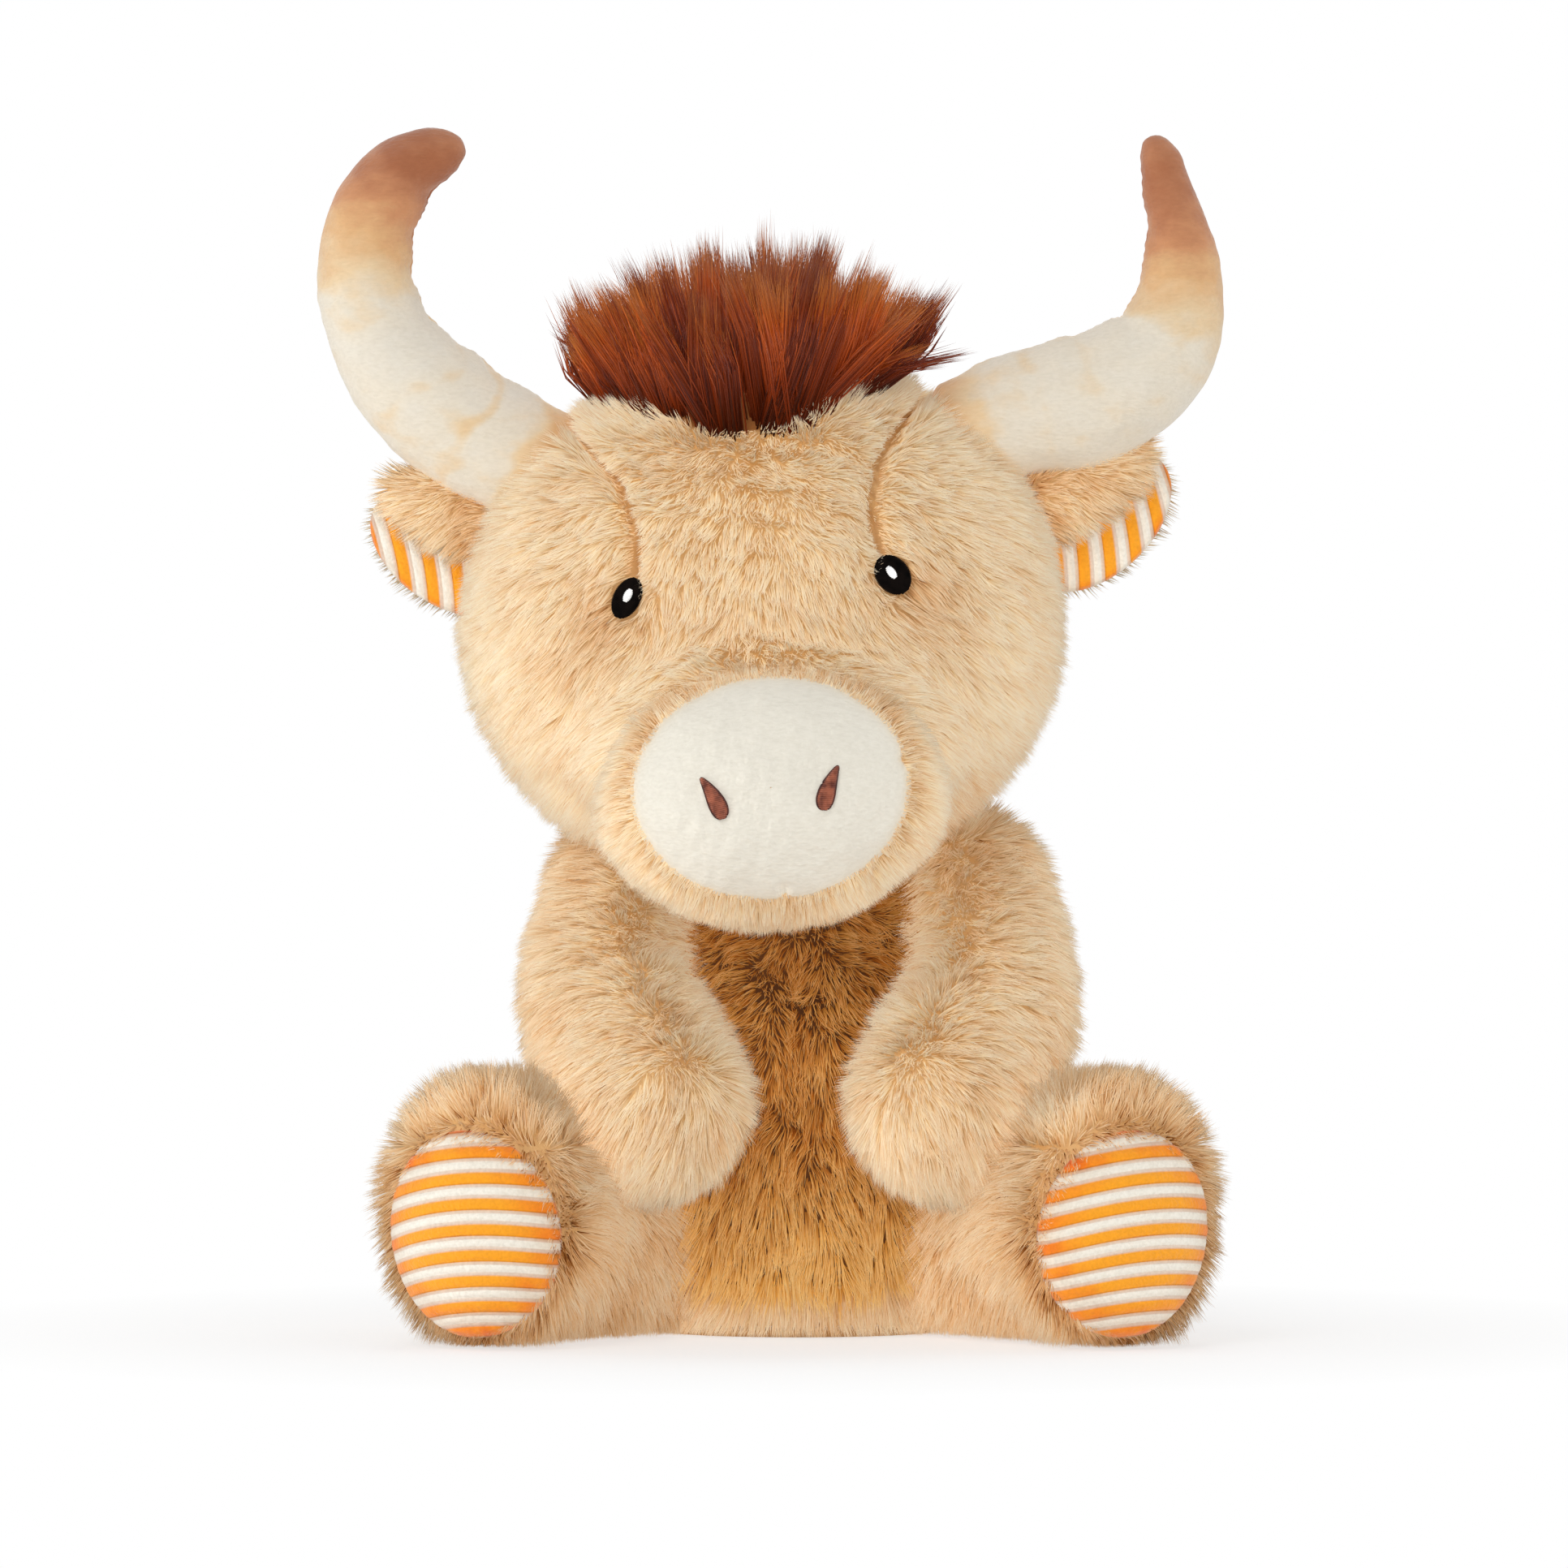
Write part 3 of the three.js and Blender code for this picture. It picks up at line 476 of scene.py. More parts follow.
# For straight strands and for bent ones: faces, then v and the side's share of u for each point.
PILE = (np.array(((0, 2, 1), (0, 1, 3), (1, 2, 3), (2, 0, 3))),
        np.array((0, 0, 0, 1)), np.array((0, 0.5, 1, 0.5)))
LOCK = (np.array(((0, 2, 1), (0, 1, 4), (0, 4, 3), (1, 2, 5), (1, 5, 4), (2, 0, 3), (2, 3, 5), (3, 4, 6),
                  (4, 5, 6), (5, 3, 6))),
        np.array((0, 0, 0, 0.5, 0.5, 0.5, 1)), np.array((0, 0.5, 1, 0, 0.5, 1, 0.5)))
BEND_SHARE = 0.72
TONE_WIDTH = 1 / 340
MOST_FACES = 190000
STRAND_WIDTH, TUFT_SIZE, ROOT_DEPTH = 0.2, 2.4, 0.4
SPREAD, SIDE_SHARE = 0.13, 0.6
DRIFT_SIZE = 15


def spikes(root, tip, width, tone, rng, bend=None):
    """Points, faces and uv of strands, straight or with one bend."""
    count = len(root)
    way = unit((tip if bend is None else bend) - root)
    across = unit(np.cross(way, rng.normal(size=(count, 3))))
    upright = np.cross(way, across)
    rings = []
    for centre, share in ((root, 1.0),) if bend is None else ((root, 1.0), (bend, BEND_SHARE)):
        for angle in np.arange(3) * 2 * math.pi / 3:
            out = across * math.cos(angle) + upright * math.sin(angle)
            rings.append(centre + out * width * share)
    points = np.stack((*rings, tip), axis=1)
    shape, run, side = PILE if bend is None else LOCK
    faces = shape[None] + (np.arange(count) * points.shape[1])[:, None, None]
    u = tone[:, None] * (1 - TONE_WIDTH) + side[None] * TONE_WIDTH
    return points, faces, np.stack((u, np.broadcast_to(run, u.shape)), axis=-1)[:, shape]


def loose_hair(name, node, body, start, end, width, tone, rng, bend, matrix=None):
    """Long bent fibres that stand for a node."""
    points, faces, uv = spikes(start, end, width / DETAIL ** 0.5, tone.clip(0.02, 0.98), rng, bend)
    piece = mesh_object(name, "hair", points.reshape(-1, 3), faces.reshape(-1, 3), body, matrix, uv)
    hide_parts(node)


def plant(form, density, rng, keep):
    """Roots and normals of strands spread evenly over a form, where keep allows them."""
    p, f, n = form.points, form.faces, form.normals()
    area = np.linalg.norm(np.cross(p[f[:, 1]] - p[f[:, 0]], p[f[:, 2]] - p[f[:, 0]]), axis=1) / 2
    run = np.cumsum(area)
    count = int(run[-1] * density)
    pick = np.searchsorted(run, (np.arange(count) + rng.random(count)) * run[-1] / count).clip(0, len(f) - 1)
    s, t = rng.random(count), rng.random(count)
    flip = s + t > 1
    s, t = np.where(flip, 1 - s, s), np.where(flip, 1 - t, t)
    weight = np.stack((1 - s - t, s, t), axis=1)[..., None]
    root = (p[f[pick]] * weight).sum(axis=1)
    normal = unit((n[f[pick]] * weight).sum(axis=1))
    kept = keep(root, normal)
    return root[kept], normal[kept]


def gather_tufts(root, count, rng):
    """For each strand the number of its tuft, and the strand that stands in that tuft's middle."""
    centres = rng.permutation(len(root))[:count]
    tree = kdtree.KDTree(count)
    for i, centre in enumerate(centres):
        tree.insert(root[centre], i)
    tree.balance()
    tuft = np.fromiter((tree.find(p)[1] for p in root), int, len(root))
    return tuft, centres[tuft]


def everywhere(root, normal):
    return np.ones(len(root), bool)


def fur(name, kind, form, body, comb, seed, density, length, keep=everywhere, tone=None, trim=None,
        stand=1.25, floor=None, face=(0, -0.45, 0.1), sway=0.26, matrix=None):
    """A coat of strands on a form, split into pieces that stay light."""
    rng = np.random.default_rng(seed)
    density *= DETAIL
    root, normal = plant(form, density, rng, keep)
    count = len(root)
    tufts = max(int(count / density / TUFT_SIZE ** 2), 1)
    tuft, middle = gather_tufts(root, tufts, rng)
    flow = comb(root, normal)
    flow = flow - normal * (flow * normal).sum(axis=1, keepdims=True)
    lean = (rng.normal(size=(tufts, 3)) * SPREAD)[tuft]
    drift = np.stack([ripple(root, DRIFT_SIZE, seed + k) for k in range(3)], axis=1) * sway
    way = unit(normal * stand + flow + drift + lean + rng.normal(size=(count, 3)) * SPREAD)
    way = unit(way + normal * np.clip(0.25 - (way * normal).sum(axis=1, keepdims=True), 0, 1))
    size = length * (0.8 + 0.25 * rng.random(count)) * (0.9 + 0.2 * rng.random(tufts)[tuft])
    if trim:
        size = size * trim(root)
    size = size[:, None]
    tip = root + way * size
    closer = (0.12 + 0.26 * rng.random(tufts))[tuft][:, None]
    tip = tip + (root[middle] + way[middle] * size - tip) * closer
    if floor is not None:
        tip[:, 2] = np.maximum(tip[:, 2], floor)
    root = root - normal * ROOT_DEPTH
    shade = 0.83 + 0.05 * ripple(root, 9, seed + 5)
    shade = shade + 0.05 * rng.normal(size=tufts)[tuft] + 0.16 * rng.normal(size=count)
    if tone:
        shade = shade + tone(root)
    points, faces, uv = spikes(root, tip, STRAND_WIDTH / DETAIL ** 0.5, shade.clip(0.02, 0.99), rng)
    to_face = np.array(face, float) * np.clip(0.3 - normal[:, 1:2], 0, 1)
    outwards = unit(points - points.mean(axis=1, keepdims=True)) * SIDE_SHARE
    outwards = unit(outwards + (to_face + normal + 0.5 * (normal[middle] + lean) + 0.4 * drift)[:, None])
    per_piece = MOST_FACES // len(PILE[0])
    for i, start in enumerate(range(0, count, per_piece)):
        part = slice(start, start + per_piece)
        co, normals = points[part].reshape(-1, 3), outwards[part].reshape(-1, 3)
        corners = faces[:len(points[part])].reshape(-1, 3)
        mesh_object(f"{name}_fur_{i + 1}", kind, co, corners, body, matrix, uv[part], normals)


def coat(name, node, form, body, comb, kind="fur", backing=None, density=2.8, length=8.8, fill=0.7,
         matrix=None, **looks):
    """A backing with its fur, which stands for a node if one is named."""
    fur(name, kind, form, body, comb, density=density, length=length, matrix=matrix, **looks)
    points, faces = backing or (form.points, form.faces)
    return cloth_piece(f"{name}_backing", BACKINGS[kind], points, faces, body, fill, node, matrix)


# Materials.

class Shade:
    """A material's nodes round its main shader."""

    def __init__(self, name, roughness=0.9, sheen=0.0, sheen_tint=(1, 1, 1), shine=0.25):
        self.material = bpy.data.materials.new(name)
        self.material.use_nodes = True
        self.nodes = self.material.node_tree.nodes
        self.links = self.material.node_tree.links
        self.shader = self.nodes["Principled BSDF"]
        self.shader.inputs["Roughness"].default_value = roughness
        self.shader.inputs["Sheen Weight"].default_value = sheen
        self.shader.inputs["Sheen Tint"].default_value = (*sheen_tint, 1)
        self.shader.inputs["Specular IOR Level"].default_value = shine

    def set_input(self, socket, value):
        """Joins another node's output to a socket, or gives it a number or a colour."""
        if isinstance(value, bpy.types.NodeSocket):
            self.links.new(value, socket)
        elif socket.type == "RGBA":
            socket.default_value = (*value[:3], 1)
        else:
            socket.default_value = value

    def node(self, kind, values=(), **settings):
        made = self.nodes.new("ShaderNode" + kind)
        for key, value in settings.items():
            setattr(made, key, value)
        for key, value in dict(values).items():
            self.set_input(made.inputs[key], value)
        return made

    def calculate(self, operation, *values, **settings):
        return self.node("Math", enumerate(values), operation=operation, **settings).outputs["Value"]

    def ramp(self, value, stops):
        made = self.node("ValToRGB", {"Fac": value})
        elements = made.color_ramp.elements
        while len(elements) < len(stops):
            elements.new(0.5)
        for element, (place, colour) in zip(elements, stops):
            element.position = place
            element.color = (*(rgb(colour) if isinstance(colour, str) else colour), 1)
        return made.outputs["Color"]

    def mix(self, amount, a, b, blend="MIX"):
        made = self.node("Mix", {"Factor": amount, "A": a, "B": b}, data_type="RGBA", blend_type=blend)
        return next(s for s in made.outputs if s.type == "RGBA")

    def place(self):
        return self.node("TexCoord").outputs["Object"]

    def noise(self, scale, detail=3.0, stretch=None):
        place = self.place()
        if stretch:
            place = self.node("Mapping", {"Vector": place, "Scale": stretch}).outputs["Vector"]
        return self.node("TexNoise", {"Vector": place, "Scale": scale, "Detail": detail}).outputs["Fac"]

    def attribute(self, name):
        return self.node("Attribute", attribute_name=name).outputs["Fac"]

    def finish(self, colour, height=None, distance=0.0003):
        self.links.new(colour, self.shader.inputs["Base Color"])
        if height is not None:
            bump_node = self.node("Bump", {"Height": height, "Distance": distance, "Strength": 0.6})
            self.links.new(bump_node.outputs["Normal"], self.shader.inputs["Normal"])
        return self.material


def rgb(code):
    """Linear colour from a screen colour such as D9B07A."""
    parts = [int(code[i:i + 2], 16) / 255 for i in (0, 2, 4)]
    return tuple(p / 12.92 if p <= 0.04045 else ((p + 0.055) / 1.055) ** 2.4 for p in parts)


# A strand whose tone is over one part in this has none of the colour of the dips, which is painted shade for
# dimples, creases and gaps between tufts.
DIP_EDGE = 4.5


def fur_material(name, dark, light, roughness=0.8, sheen=0.1, shine=0.06, deep=None):
    """Strand colour from root to tip, for a dark and the lightest tone, and for the dips below them, a
    painted shade. The darker roots are partly the fibre's own colour and partly painted shade deep in the
    pile.
    """
    shade = Shade(name, roughness, sheen, (1.0, 0.78, 0.5), shine)
    split = shade.node("SeparateXYZ", {"Vector": shade.node("UVMap", uv_map="OFBake").outputs["UV"]})
    run, tone = split.outputs["Y"], split.outputs["X"]

    def from_root(colours):
        return shade.ramp(run, list(zip(np.linspace(0, 1, len(colours)), colours)))

    colour = shade.mix(tone, from_root(dark), from_root(light))
    if deep:
        above = shade.calculate("MULTIPLY", tone, DIP_EDGE, use_clamp=True)
        colour = shade.mix(above, from_root(deep), colour)
    return shade.finish(colour)


def backing_material(name, dark, light):
    """The knitted backing that fur is sewn into, darkened where the seam attribute marks painted shade in the
    seam grooves and eye dimples, and the dark under the hair.
    """
    shade = Shade(name, 0.95)
    blotch, knit = shade.noise(60, 4), shade.noise(1400, 2)
    cloth = shade.ramp(blotch, ((0.3, dark), (0.7, light)))
    return shade.finish(shade.mix(shade.attribute("seam"), cloth, rgb("8A5426")), knit)


def velour_material(name, attribute, streak, places, colours, sheen=0.35):
    """Brushed velour whose colour follows an attribute, with a mottled nap."""
    shade = Shade(name, 0.92, sheen)
    drift = shade.calculate("SUBTRACT", shade.noise(95, 5, (1, 1, 1.8)), 0.5)
    moved = shade.calculate("MULTIPLY_ADD", drift, streak, shade.attribute(attribute))
    colour = shade.ramp(moved, list(zip(places, colours)))
    nap = shade.noise(900, 4, (0.6, 1, 1.5))
    speck = shade.ramp(nap, ((0.3, (0.88, 0.87, 0.85)), (0.62, (1, 1, 1))))
    return shade.finish(shade.mix(0.55, colour, speck, "MULTIPLY"), nap, 0.0004)


def thread_material(name, dark, light, roughness=0.4, shine=0.5):
    """Satin thread with fine filaments."""
    shade = Shade(name, roughness, shine=shine)
    colour = shade.ramp(shade.noise(420, 2), ((0.35, dark), (0.65, light)))
    return shade.finish(colour, shade.noise(3000, 2), 0.0001)


# One period of the stripes: its orange, beige, white and beige ribs, calm and near the rim.
STRIPE_PLACES = (0.0, 0.06, 0.4, 0.47, 0.56, 0.6, 0.84, 0.88, 0.97, 1.0)
STRIPE_COLOURS = ("D98A14", "F5A11A", "F3A226", "DFC9B8", "E0CDBC", "EDE8DC", "EDE8DC", "DFC9B8", "DDC2A8",
                  "D98A14")
RIM_COLOURS = ("B04A0C", "E8640F", "E46A18", "C9A488", "CBA88E", "DCCDB8", "DCCDB8", "C9A488", "C48E66",
               "B04A0C")
RIB_EDGES = (0.0, 0.44, 0.58, 0.86, 1.0)
RIB_PERIOD, RIB_HEIGHT = 6.3, 0.75


def striped_material(name):
    """Ribbed plush in orange, beige and white bands, which redden towards the rim."""
    shade = Shade(name, 0.92, 0.3)
    band = shade.calculate("FRACT", shade.attribute("band"))
    calm, rim = (shade.ramp(band, list(zip(STRIPE_PLACES, colours)))
                 for colours in (STRIPE_COLOURS, RIM_COLOURS))
    colour = shade.mix(shade.attribute("rim"), calm, rim)
    nap = shade.noise(1300, 3)
    speck = shade.ramp(nap, ((0.3, (0.8, 0.78, 0.75)), (0.62, (1, 1, 1))))
    return shade.finish(shade.mix(0.5, colour, speck, "MULTIPLY"), nap, 0.0004)


def cloth_material(name, dark, light):
    """A plain weave."""
    shade = Shade(name, 0.9, 0.1)
    threads = [shade.node("TexWave", {"Vector": shade.place(), "Scale": 420.0}, bands_direction=way)
               for way in "XY"]
    weave = shade.calculate("MULTIPLY", *(thread.outputs["Fac"] for thread in threads))
    return shade.finish(shade.ramp(weave, ((0.1, dark), (0.7, light))), weave, 0.0002)


MATERIALS = {
    "fur": fur_material("tan_fur", ("8C4E16", "C67A2E", "E49E4C", "F0B25E"),
                        ("F4CC92", "FEE2B4", "FFEDCB", "FFF5E0"),
                        # The dips: painted shade in dimples, creases and gaps between tufts.
                        deep=("401C06", "7A3E10", "A2622A", "B87A3E")),
    "backing": backing_material("fur_backing", "C6965C", "DCB480"),
    "belly": fur_material("belly_fur", ("622E06", "9A4E0C", "BE6C18", "D6882E"),
                          ("CC8834", "F2B45C", "FED084", "FFE2A8")),
    "belly_backing": backing_material("belly_backing", "4A2C14", "6E4522"),
    "hair": fur_material("hair_fibre", ("1C0601", "421203", "661E05", "80300C"),
                         ("5A1C06", "96380A", "C45A16", "EC9444"), roughness=0.36, sheen=0.0, shine=0.22),
    "horn": velour_material("horn_velour", "run", 0.35, (0.0, 0.26, 0.4, 0.58, 0.74, 0.88, 1.0),
                            ("D8D3C8", "DBD1BF", "DCC29C", "D4A878", "C48A60", "AE7350", "9E6140")),
    # Cream velour that turns brown where the rim attribute marks painted shade at the rim and in the notch.
    "snout": velour_material("snout_velour", "rim", 0.12, (0.0, 0.6, 0.9, 1.0),
                             ("E0DBCE", "DCD3C1", "CDA878", "A06E3E")),
    "stripes": striped_material("striped_velour"),
    "black": thread_material("black_thread", "050404", "120D0B", 0.9, 0.03),
    "white": thread_material("white_thread", "E8E8E8", "FBFBFB"),
    "brown": thread_material("brown_thread", "5A2414", "A05A40", 0.4, 0.4),
    "dark_brown": thread_material("dark_brown_thread", "2E0F07", "4A1D10", 0.5, 0.3),
    "seat": cloth_material("seat_cloth", "B98A56", "E2BE8C"),
    "filling": backing_material("fibre_filling", "D8D5CE", "F4F2EE"),
    "pellets": cloth_material("pellet_cloth", "C9C4B8", "EFEBE2"),
}


# Shapes of the coat: how the backing is pulled in, and how the strands lie.

SEAM_PATH = ((46, 116), (43.5, 111), (37.5, 102.5), (32, 95.5), (28.8, 82), (30.5, 72))
BACK_SEAM = ((0, -20), (0, 130))
FILLET = 10


def dent(points, centre, radius):
    """1 at a centre, falling off smoothly."""
    away = points - np.array(centre, float)
    return np.exp(-(away ** 2).sum(axis=1) / (2 * radius ** 2))


def near_path(points, path):
    """Distance from points to a polyline, seen from the front."""
    p = points[:, [0, 2]]
    best = np.full(len(p), 1e9)
    for a, b in zip(path[:-1], path[1:]):
        a, b = np.array(a, float), np.array(b, float)
        t = np.clip(((p - a) @ (b - a)) / ((b - a) @ (b - a)), 0, 1)[:, None]
        best = np.minimum(best, np.linalg.norm(p - a - t * (b - a), axis=1))
    return best


def seam_distance(points):
    """Distance to the seams over the eyes, or far for points on the back of the head."""
    left, right = (near_path(points, [(side * x, z) for x, z in SEAM_PATH]) for side in SIDES.values())
    return np.where(points[:, 1] < -HEAD_FORWARD, np.minimum(left, right), 99)


def eye_places():
    places = (side * EYE_OUT for side in SIDES.values())
    return [(x, float(head_front(x, EYE_HEIGHT)), EYE_HEIGHT) for x in places]


def head_pull(points):
    """The backing pulled in at the seams and the eyes, and pushed out at the cheeks."""
    shift = -2.2 * bump(seam_distance(points), 2.4)
    for x, y, z in eye_places():
        shift -= 2.6 * dent(points, (x, y, z), 7.5)
        shift -= 1.6 * dent(points, (x * 1.32, y + 4, z - 5), 6)
    for side in SIDES.values():
        shift += 2.0 * dent(points, (side * 50, -40, 38), 15)
    beside_muzzle = bump(np.clip(muzzle_reach(points[:, 0], points[:, 2]) - 0.9, 0, None), 0.26)
    shift += FILLET * beside_muzzle * climb(points[:, 2], -6, 12) * climb(points[:, 1], -38, -50)
    return shift + 0.7 * ripple(points, 34, 11)


def inside(form, margin=0.0):
    """A test that says which points lie deeper than a margin inside a form."""
    tree = BVHTree.FromPolygons(form.points.tolist(), form.faces.tolist())

    def test(points):
        found = np.zeros(len(points), bool)
        for i, p in enumerate(points):
            place, normal, _, _ = tree.find_nearest(p)
            found[i] = (Vector(p) - place).dot(normal) < -margin
        return found

    return test


def head_comb(root, normal):
    """Down the forehead, outwards over the cheeks, and away from the eyes and seams."""
    x, z = root[:, 0], root[:, 2]
    flow = np.zeros_like(root)
    low = climb(z, 70, 10)
    flow[:, 2] = -1.0
    flow[:, 0] = (0.3 + 1.1 * low) * x / HEAD_HALF[0]
    flow[:, 1] = 0.35 * low + 1.4 * climb(z, 104, 120)
    for eye in eye_places():
        flow += unit(root - np.array(eye)) * 1.5 * dent(root, eye, 7)[:, None]
    outs, heights = zip(*SEAM_PATH[::-1])
    from_seam = np.sign(np.abs(x) - np.interp(z, heights, outs))
    flow[:, 0] += np.sign(x) * from_seam * 1.1 * bump(seam_distance(root), 4)
    flow[:, 0] += 0.25 * ripple(root, 30, 5)
    return unit(flow) * 1.1


def muzzle_comb(root, normal):
    """Over the top edge of the snout, and outwards and back at its sides and bottom."""
    x = (root[:, 0] - MUZZLE_MIDDLE[0]) / MUZZLE_HALF[0]
    z = (root[:, 2] - MUZZLE_MIDDLE[1]) / MUZZLE_HALF[1]
    top = np.clip(z, 0, 1) ** 0.7
    outwards = 0.75 * x + 0.2 * ripple(root, 22, 8)
    flow = np.stack((outwards, -0.9 * top + 0.5 * (1 - top), -0.75 + 0.2 * top), axis=1)
    edge = bump(snout_reach(root), 0.07, 0.97)[:, None]
    inwards = unit(np.stack((-x, np.zeros_like(x), -z), axis=1))
    return unit(flow) * 1.1 * (1 - 0.85 * edge) + inwards * 0.35 * edge


def down_comb(outwards=0.35, seed=4):
    """Straight down, and outwards to both sides."""
    def comb(root, normal):
        flow = np.zeros_like(root)
        flow[:, 2] = -1
        flow[:, 0] = outwards * root[:, 0] / TORSO_HALF[0] + 0.25 * ripple(root, 36, seed)
        return unit(flow)

    return comb


def limb_comb(start, end, outwards):
    """Down a limb and outwards, with some of the way from its start to its end."""
    def comb(root, normal):
        flow = unit(end - start) * 0.35 + (outwards, 0, -1.0) + np.zeros_like(root)
        flow[:, 0] += 0.3 * ripple(root, 26, 6)
        return unit(flow) * 1.2

    return comb


def ear_comb(side):
    """Away from the head and down."""
    def comb(root, normal):
        flow = np.zeros_like(root)
        flow[:, 0] = side * 0.9
        flow[:, 2] = -0.35 + 0.2 * ripple(root, 18, 7)
        return flow

    return comb


# The head.

def make_head():
    form = head_form(sides=180, rings=150).grow(-INSET).move(head_pull)
    within_muzzle = inside(muzzle_form().grow(-INSET), 2)
    within_torso = inside(torso_form().placed(HEAD_FRAME.inverted()), 5)

    def keep(root, normal):
        kept = ~within_muzzle(root) & ~within_torso(root) & ~under_hair(root) & (seam_distance(root) > 0.4)
        for (x, _, z), (wide, tall) in zip(eye_places(), EYE_HALVES.values()):
            on_eye = np.hypot((root[:, 0] - x) / wide, (root[:, 2] - z) / (tall - 0.4)) < 1
            kept &= ~(on_eye & (root[:, 1] < -HEAD_FORWARD))
        return kept

    def tone(root):
        # Uneven tone, and painted shade in the seam grooves.
        shift = 0.12 * ripple(root, 40, 3) - 0.4 * bump(seam_distance(root), 1.4)
        # Painted shade in the dimples beside the eyes, deepest on their outer side.
        for x, y, z in eye_places():
            shift -= 0.95 * dent(root, (x * 1.2, y, z - 1.5), 5.2)
            shift -= 0.3 * dent(root, (x * 1.42, y, z - 6), 8)
        # Painted shade low on the front of the head, under the chin.
        return shift - 0.35 * climb(root[:, 2], 18, -7) * (root[:, 1] < 0)

    def trim(root):
        size = 1 - 0.6 * bump(seam_distance(root), 2.6)
        for eye in eye_places():
            size -= 0.3 * dent(root, eye, 6)
        return (size * (1.25 - 0.35 * climb(root[:, 2], 0, HEAD_HIGH)).clip(0.5, 1.2)).clip(0.35, 1.3)

    skin = coat("head", "head", form, "head", head_comb, seed=21, density=3.2, length=7.6, keep=keep,
                tone=tone, trim=trim, matrix=HEAD_FRAME)
    # Painted shade on the backing in the seam grooves and the eye dimples, and dark under the hair.
    dark = 0.5 * bump(seam_distance(form.points), 1.3)
    for x, y, z in eye_places():
        dark += dent(form.points, (x * 1.15, y, z - 1), 6)
    paint(skin, seam=np.maximum(dark, under_hair(form.points)).clip(0, 1))


def snout_reach(points, grow=0.0):
    """0 in the middle of the snout's patch seen from the front, 1 at its rim."""
    return np.hypot((points[:, 0] - MUZZLE_MIDDLE[0]) / (SNOUT_HALF[0] + grow),
                    (points[:, 2] - MUZZLE_MIDDLE[1] - SNOUT_RISE) / (SNOUT_HALF[1] + grow))


def make_muzzle():
    def crease(points):
        reach = snout_reach(points)
        shift = -0.9 * bump(reach, 0.03, 1.13) - 0.7 * bump(reach, 0.03, 1.27)
        return shift * climb(np.abs(points[:, 0] - MUZZLE_MIDDLE[0]), 14, 26)

    within_head = inside(head_form(), 4)

    def keep(root, normal):
        on_snout = (snout_reach(root, -2.2) < 1) & (root[:, 1] < -60)
        return ~on_snout & ~within_head(root)

    def tone(root):
        reach, z = snout_reach(root), root[:, 2]
        # Uneven tone, with painted shade where the fur overlaps the top of the snout, in the crease round it
        # and under the muzzle.
        return (0.1 * ripple(root, 26, 9) - 0.35 * climb(z, 8, 28) * bump(reach, 0.05, 1.0)
                - 0.2 * bump(reach, 0.05, 1.27) - 0.1 * climb(z, -8, -18))

    def trim(root):
        return np.minimum(0.52 + 0.75 * climb(snout_reach(root), 0.97, 1.32), 1.1)

    coat("muzzle", "muzzle", muzzle_form().grow(-1.2).move(crease), "head", muzzle_comb, seed=22, density=3.0,
         length=8, keep=keep, tone=tone, trim=trim, face=(0, -1.1, 0.3), matrix=HEAD_FRAME)


NOSTRIL_OUT, NOSTRIL_HEIGHT = 13.15, 15.2
NOSTRIL_LENGTH, NOSTRIL_WIDTH, NOSTRIL_LEAN = 10.8, 5.6, math.radians(8)
NOSTRIL_BEND = 2.8
# The two folds of the snout seen from the front: their ends and depths.
SNOUT_FOLDS = (
    (((0.5, -16), (-0.6, -8.5)), 2.4),
    (((38, 24), (31.5, 20.5)), 2.6),
)
SNOUT_THICK = 2.4


def snout_surface(reach, angle):
    """Points of the snout's face in the head's frame, from polar places on it."""
    x = MUZZLE_MIDDLE[0] + SNOUT_HALF[0] * reach * np.cos(angle)
    z = MUZZLE_MIDDLE[1] + SNOUT_RISE + SNOUT_HALF[1] * reach * np.sin(angle)
    flat = np.stack((x.ravel(), np.zeros(x.size), z.ravel()), axis=1)
    soft = 0.45 * ripple(flat, 17, 31) + 0.12 * ripple(flat, 4.5, 32) + 0.05 * ripple(flat, 1.3, 33)
    for path, deep in SNOUT_FOLDS:
        soft += deep * bump(near_path(flat, path), 1.1)
    for side in SIDES.values():
        soft += 0.7 * dent(flat, (MUZZLE_MIDDLE[0] + side * NOSTRIL_OUT, 0, NOSTRIL_HEIGHT), 4)
    y = muzzle_front(x, z) - 0.9 * np.sqrt(np.clip(1 - reach ** 4, 0, 1))
    return np.stack((x, y + soft.reshape(x.shape) + 1.6 * climb(reach, 0.93, 1) ** 2, z), axis=-1)


def make_snout():
    reach, angle = polar_grid(130, 300)
    top = snout_surface(reach, angle)
    bottom = top + np.array((0, SNOUT_THICK, 0)) * (1 - 0.9 * reach ** 8)[..., None]
    points, faces = closed_sheet(top, bottom)
    piece = cloth_piece("snout_face", "snout", points, faces[:, ::-1], "head", fill=0.6, node="snout_patch",
                        matrix=HEAD_FRAME)
    # Painted shade along the rim, strongest under the fur at the top, and in the notch of the side fold.
    edge = climb(np.tile(reach.ravel(), 2), 0.86, 1) ** 2 * (0.45 + 0.55 * climb(points[:, 2], 22, 44))
    paint(piece, rim=edge + dent(points * (1, 0, 1), (32.5, 0, 20.5), 1.5))


def patch_point(place, half, outline, lean, bend, across, row):
    """A place on a stitched patch: across and row run from -1 to 1 over its width and its length."""
    local_x = half[0] * outline(row) * across + bend * ((row + 1) / 2) ** 2
    local_z = row * half[1]
    return (place[0] + local_x * math.cos(lean) - local_z * math.sin(lean),
            place[1] + local_x * math.sin(lean) + local_z * math.cos(lean))


def oval(row):
    return np.sqrt(np.clip(1 - row ** 2, 0, 1))


def comma(row):
    return oval(row) * (1 - 0.34 * (row + 1))


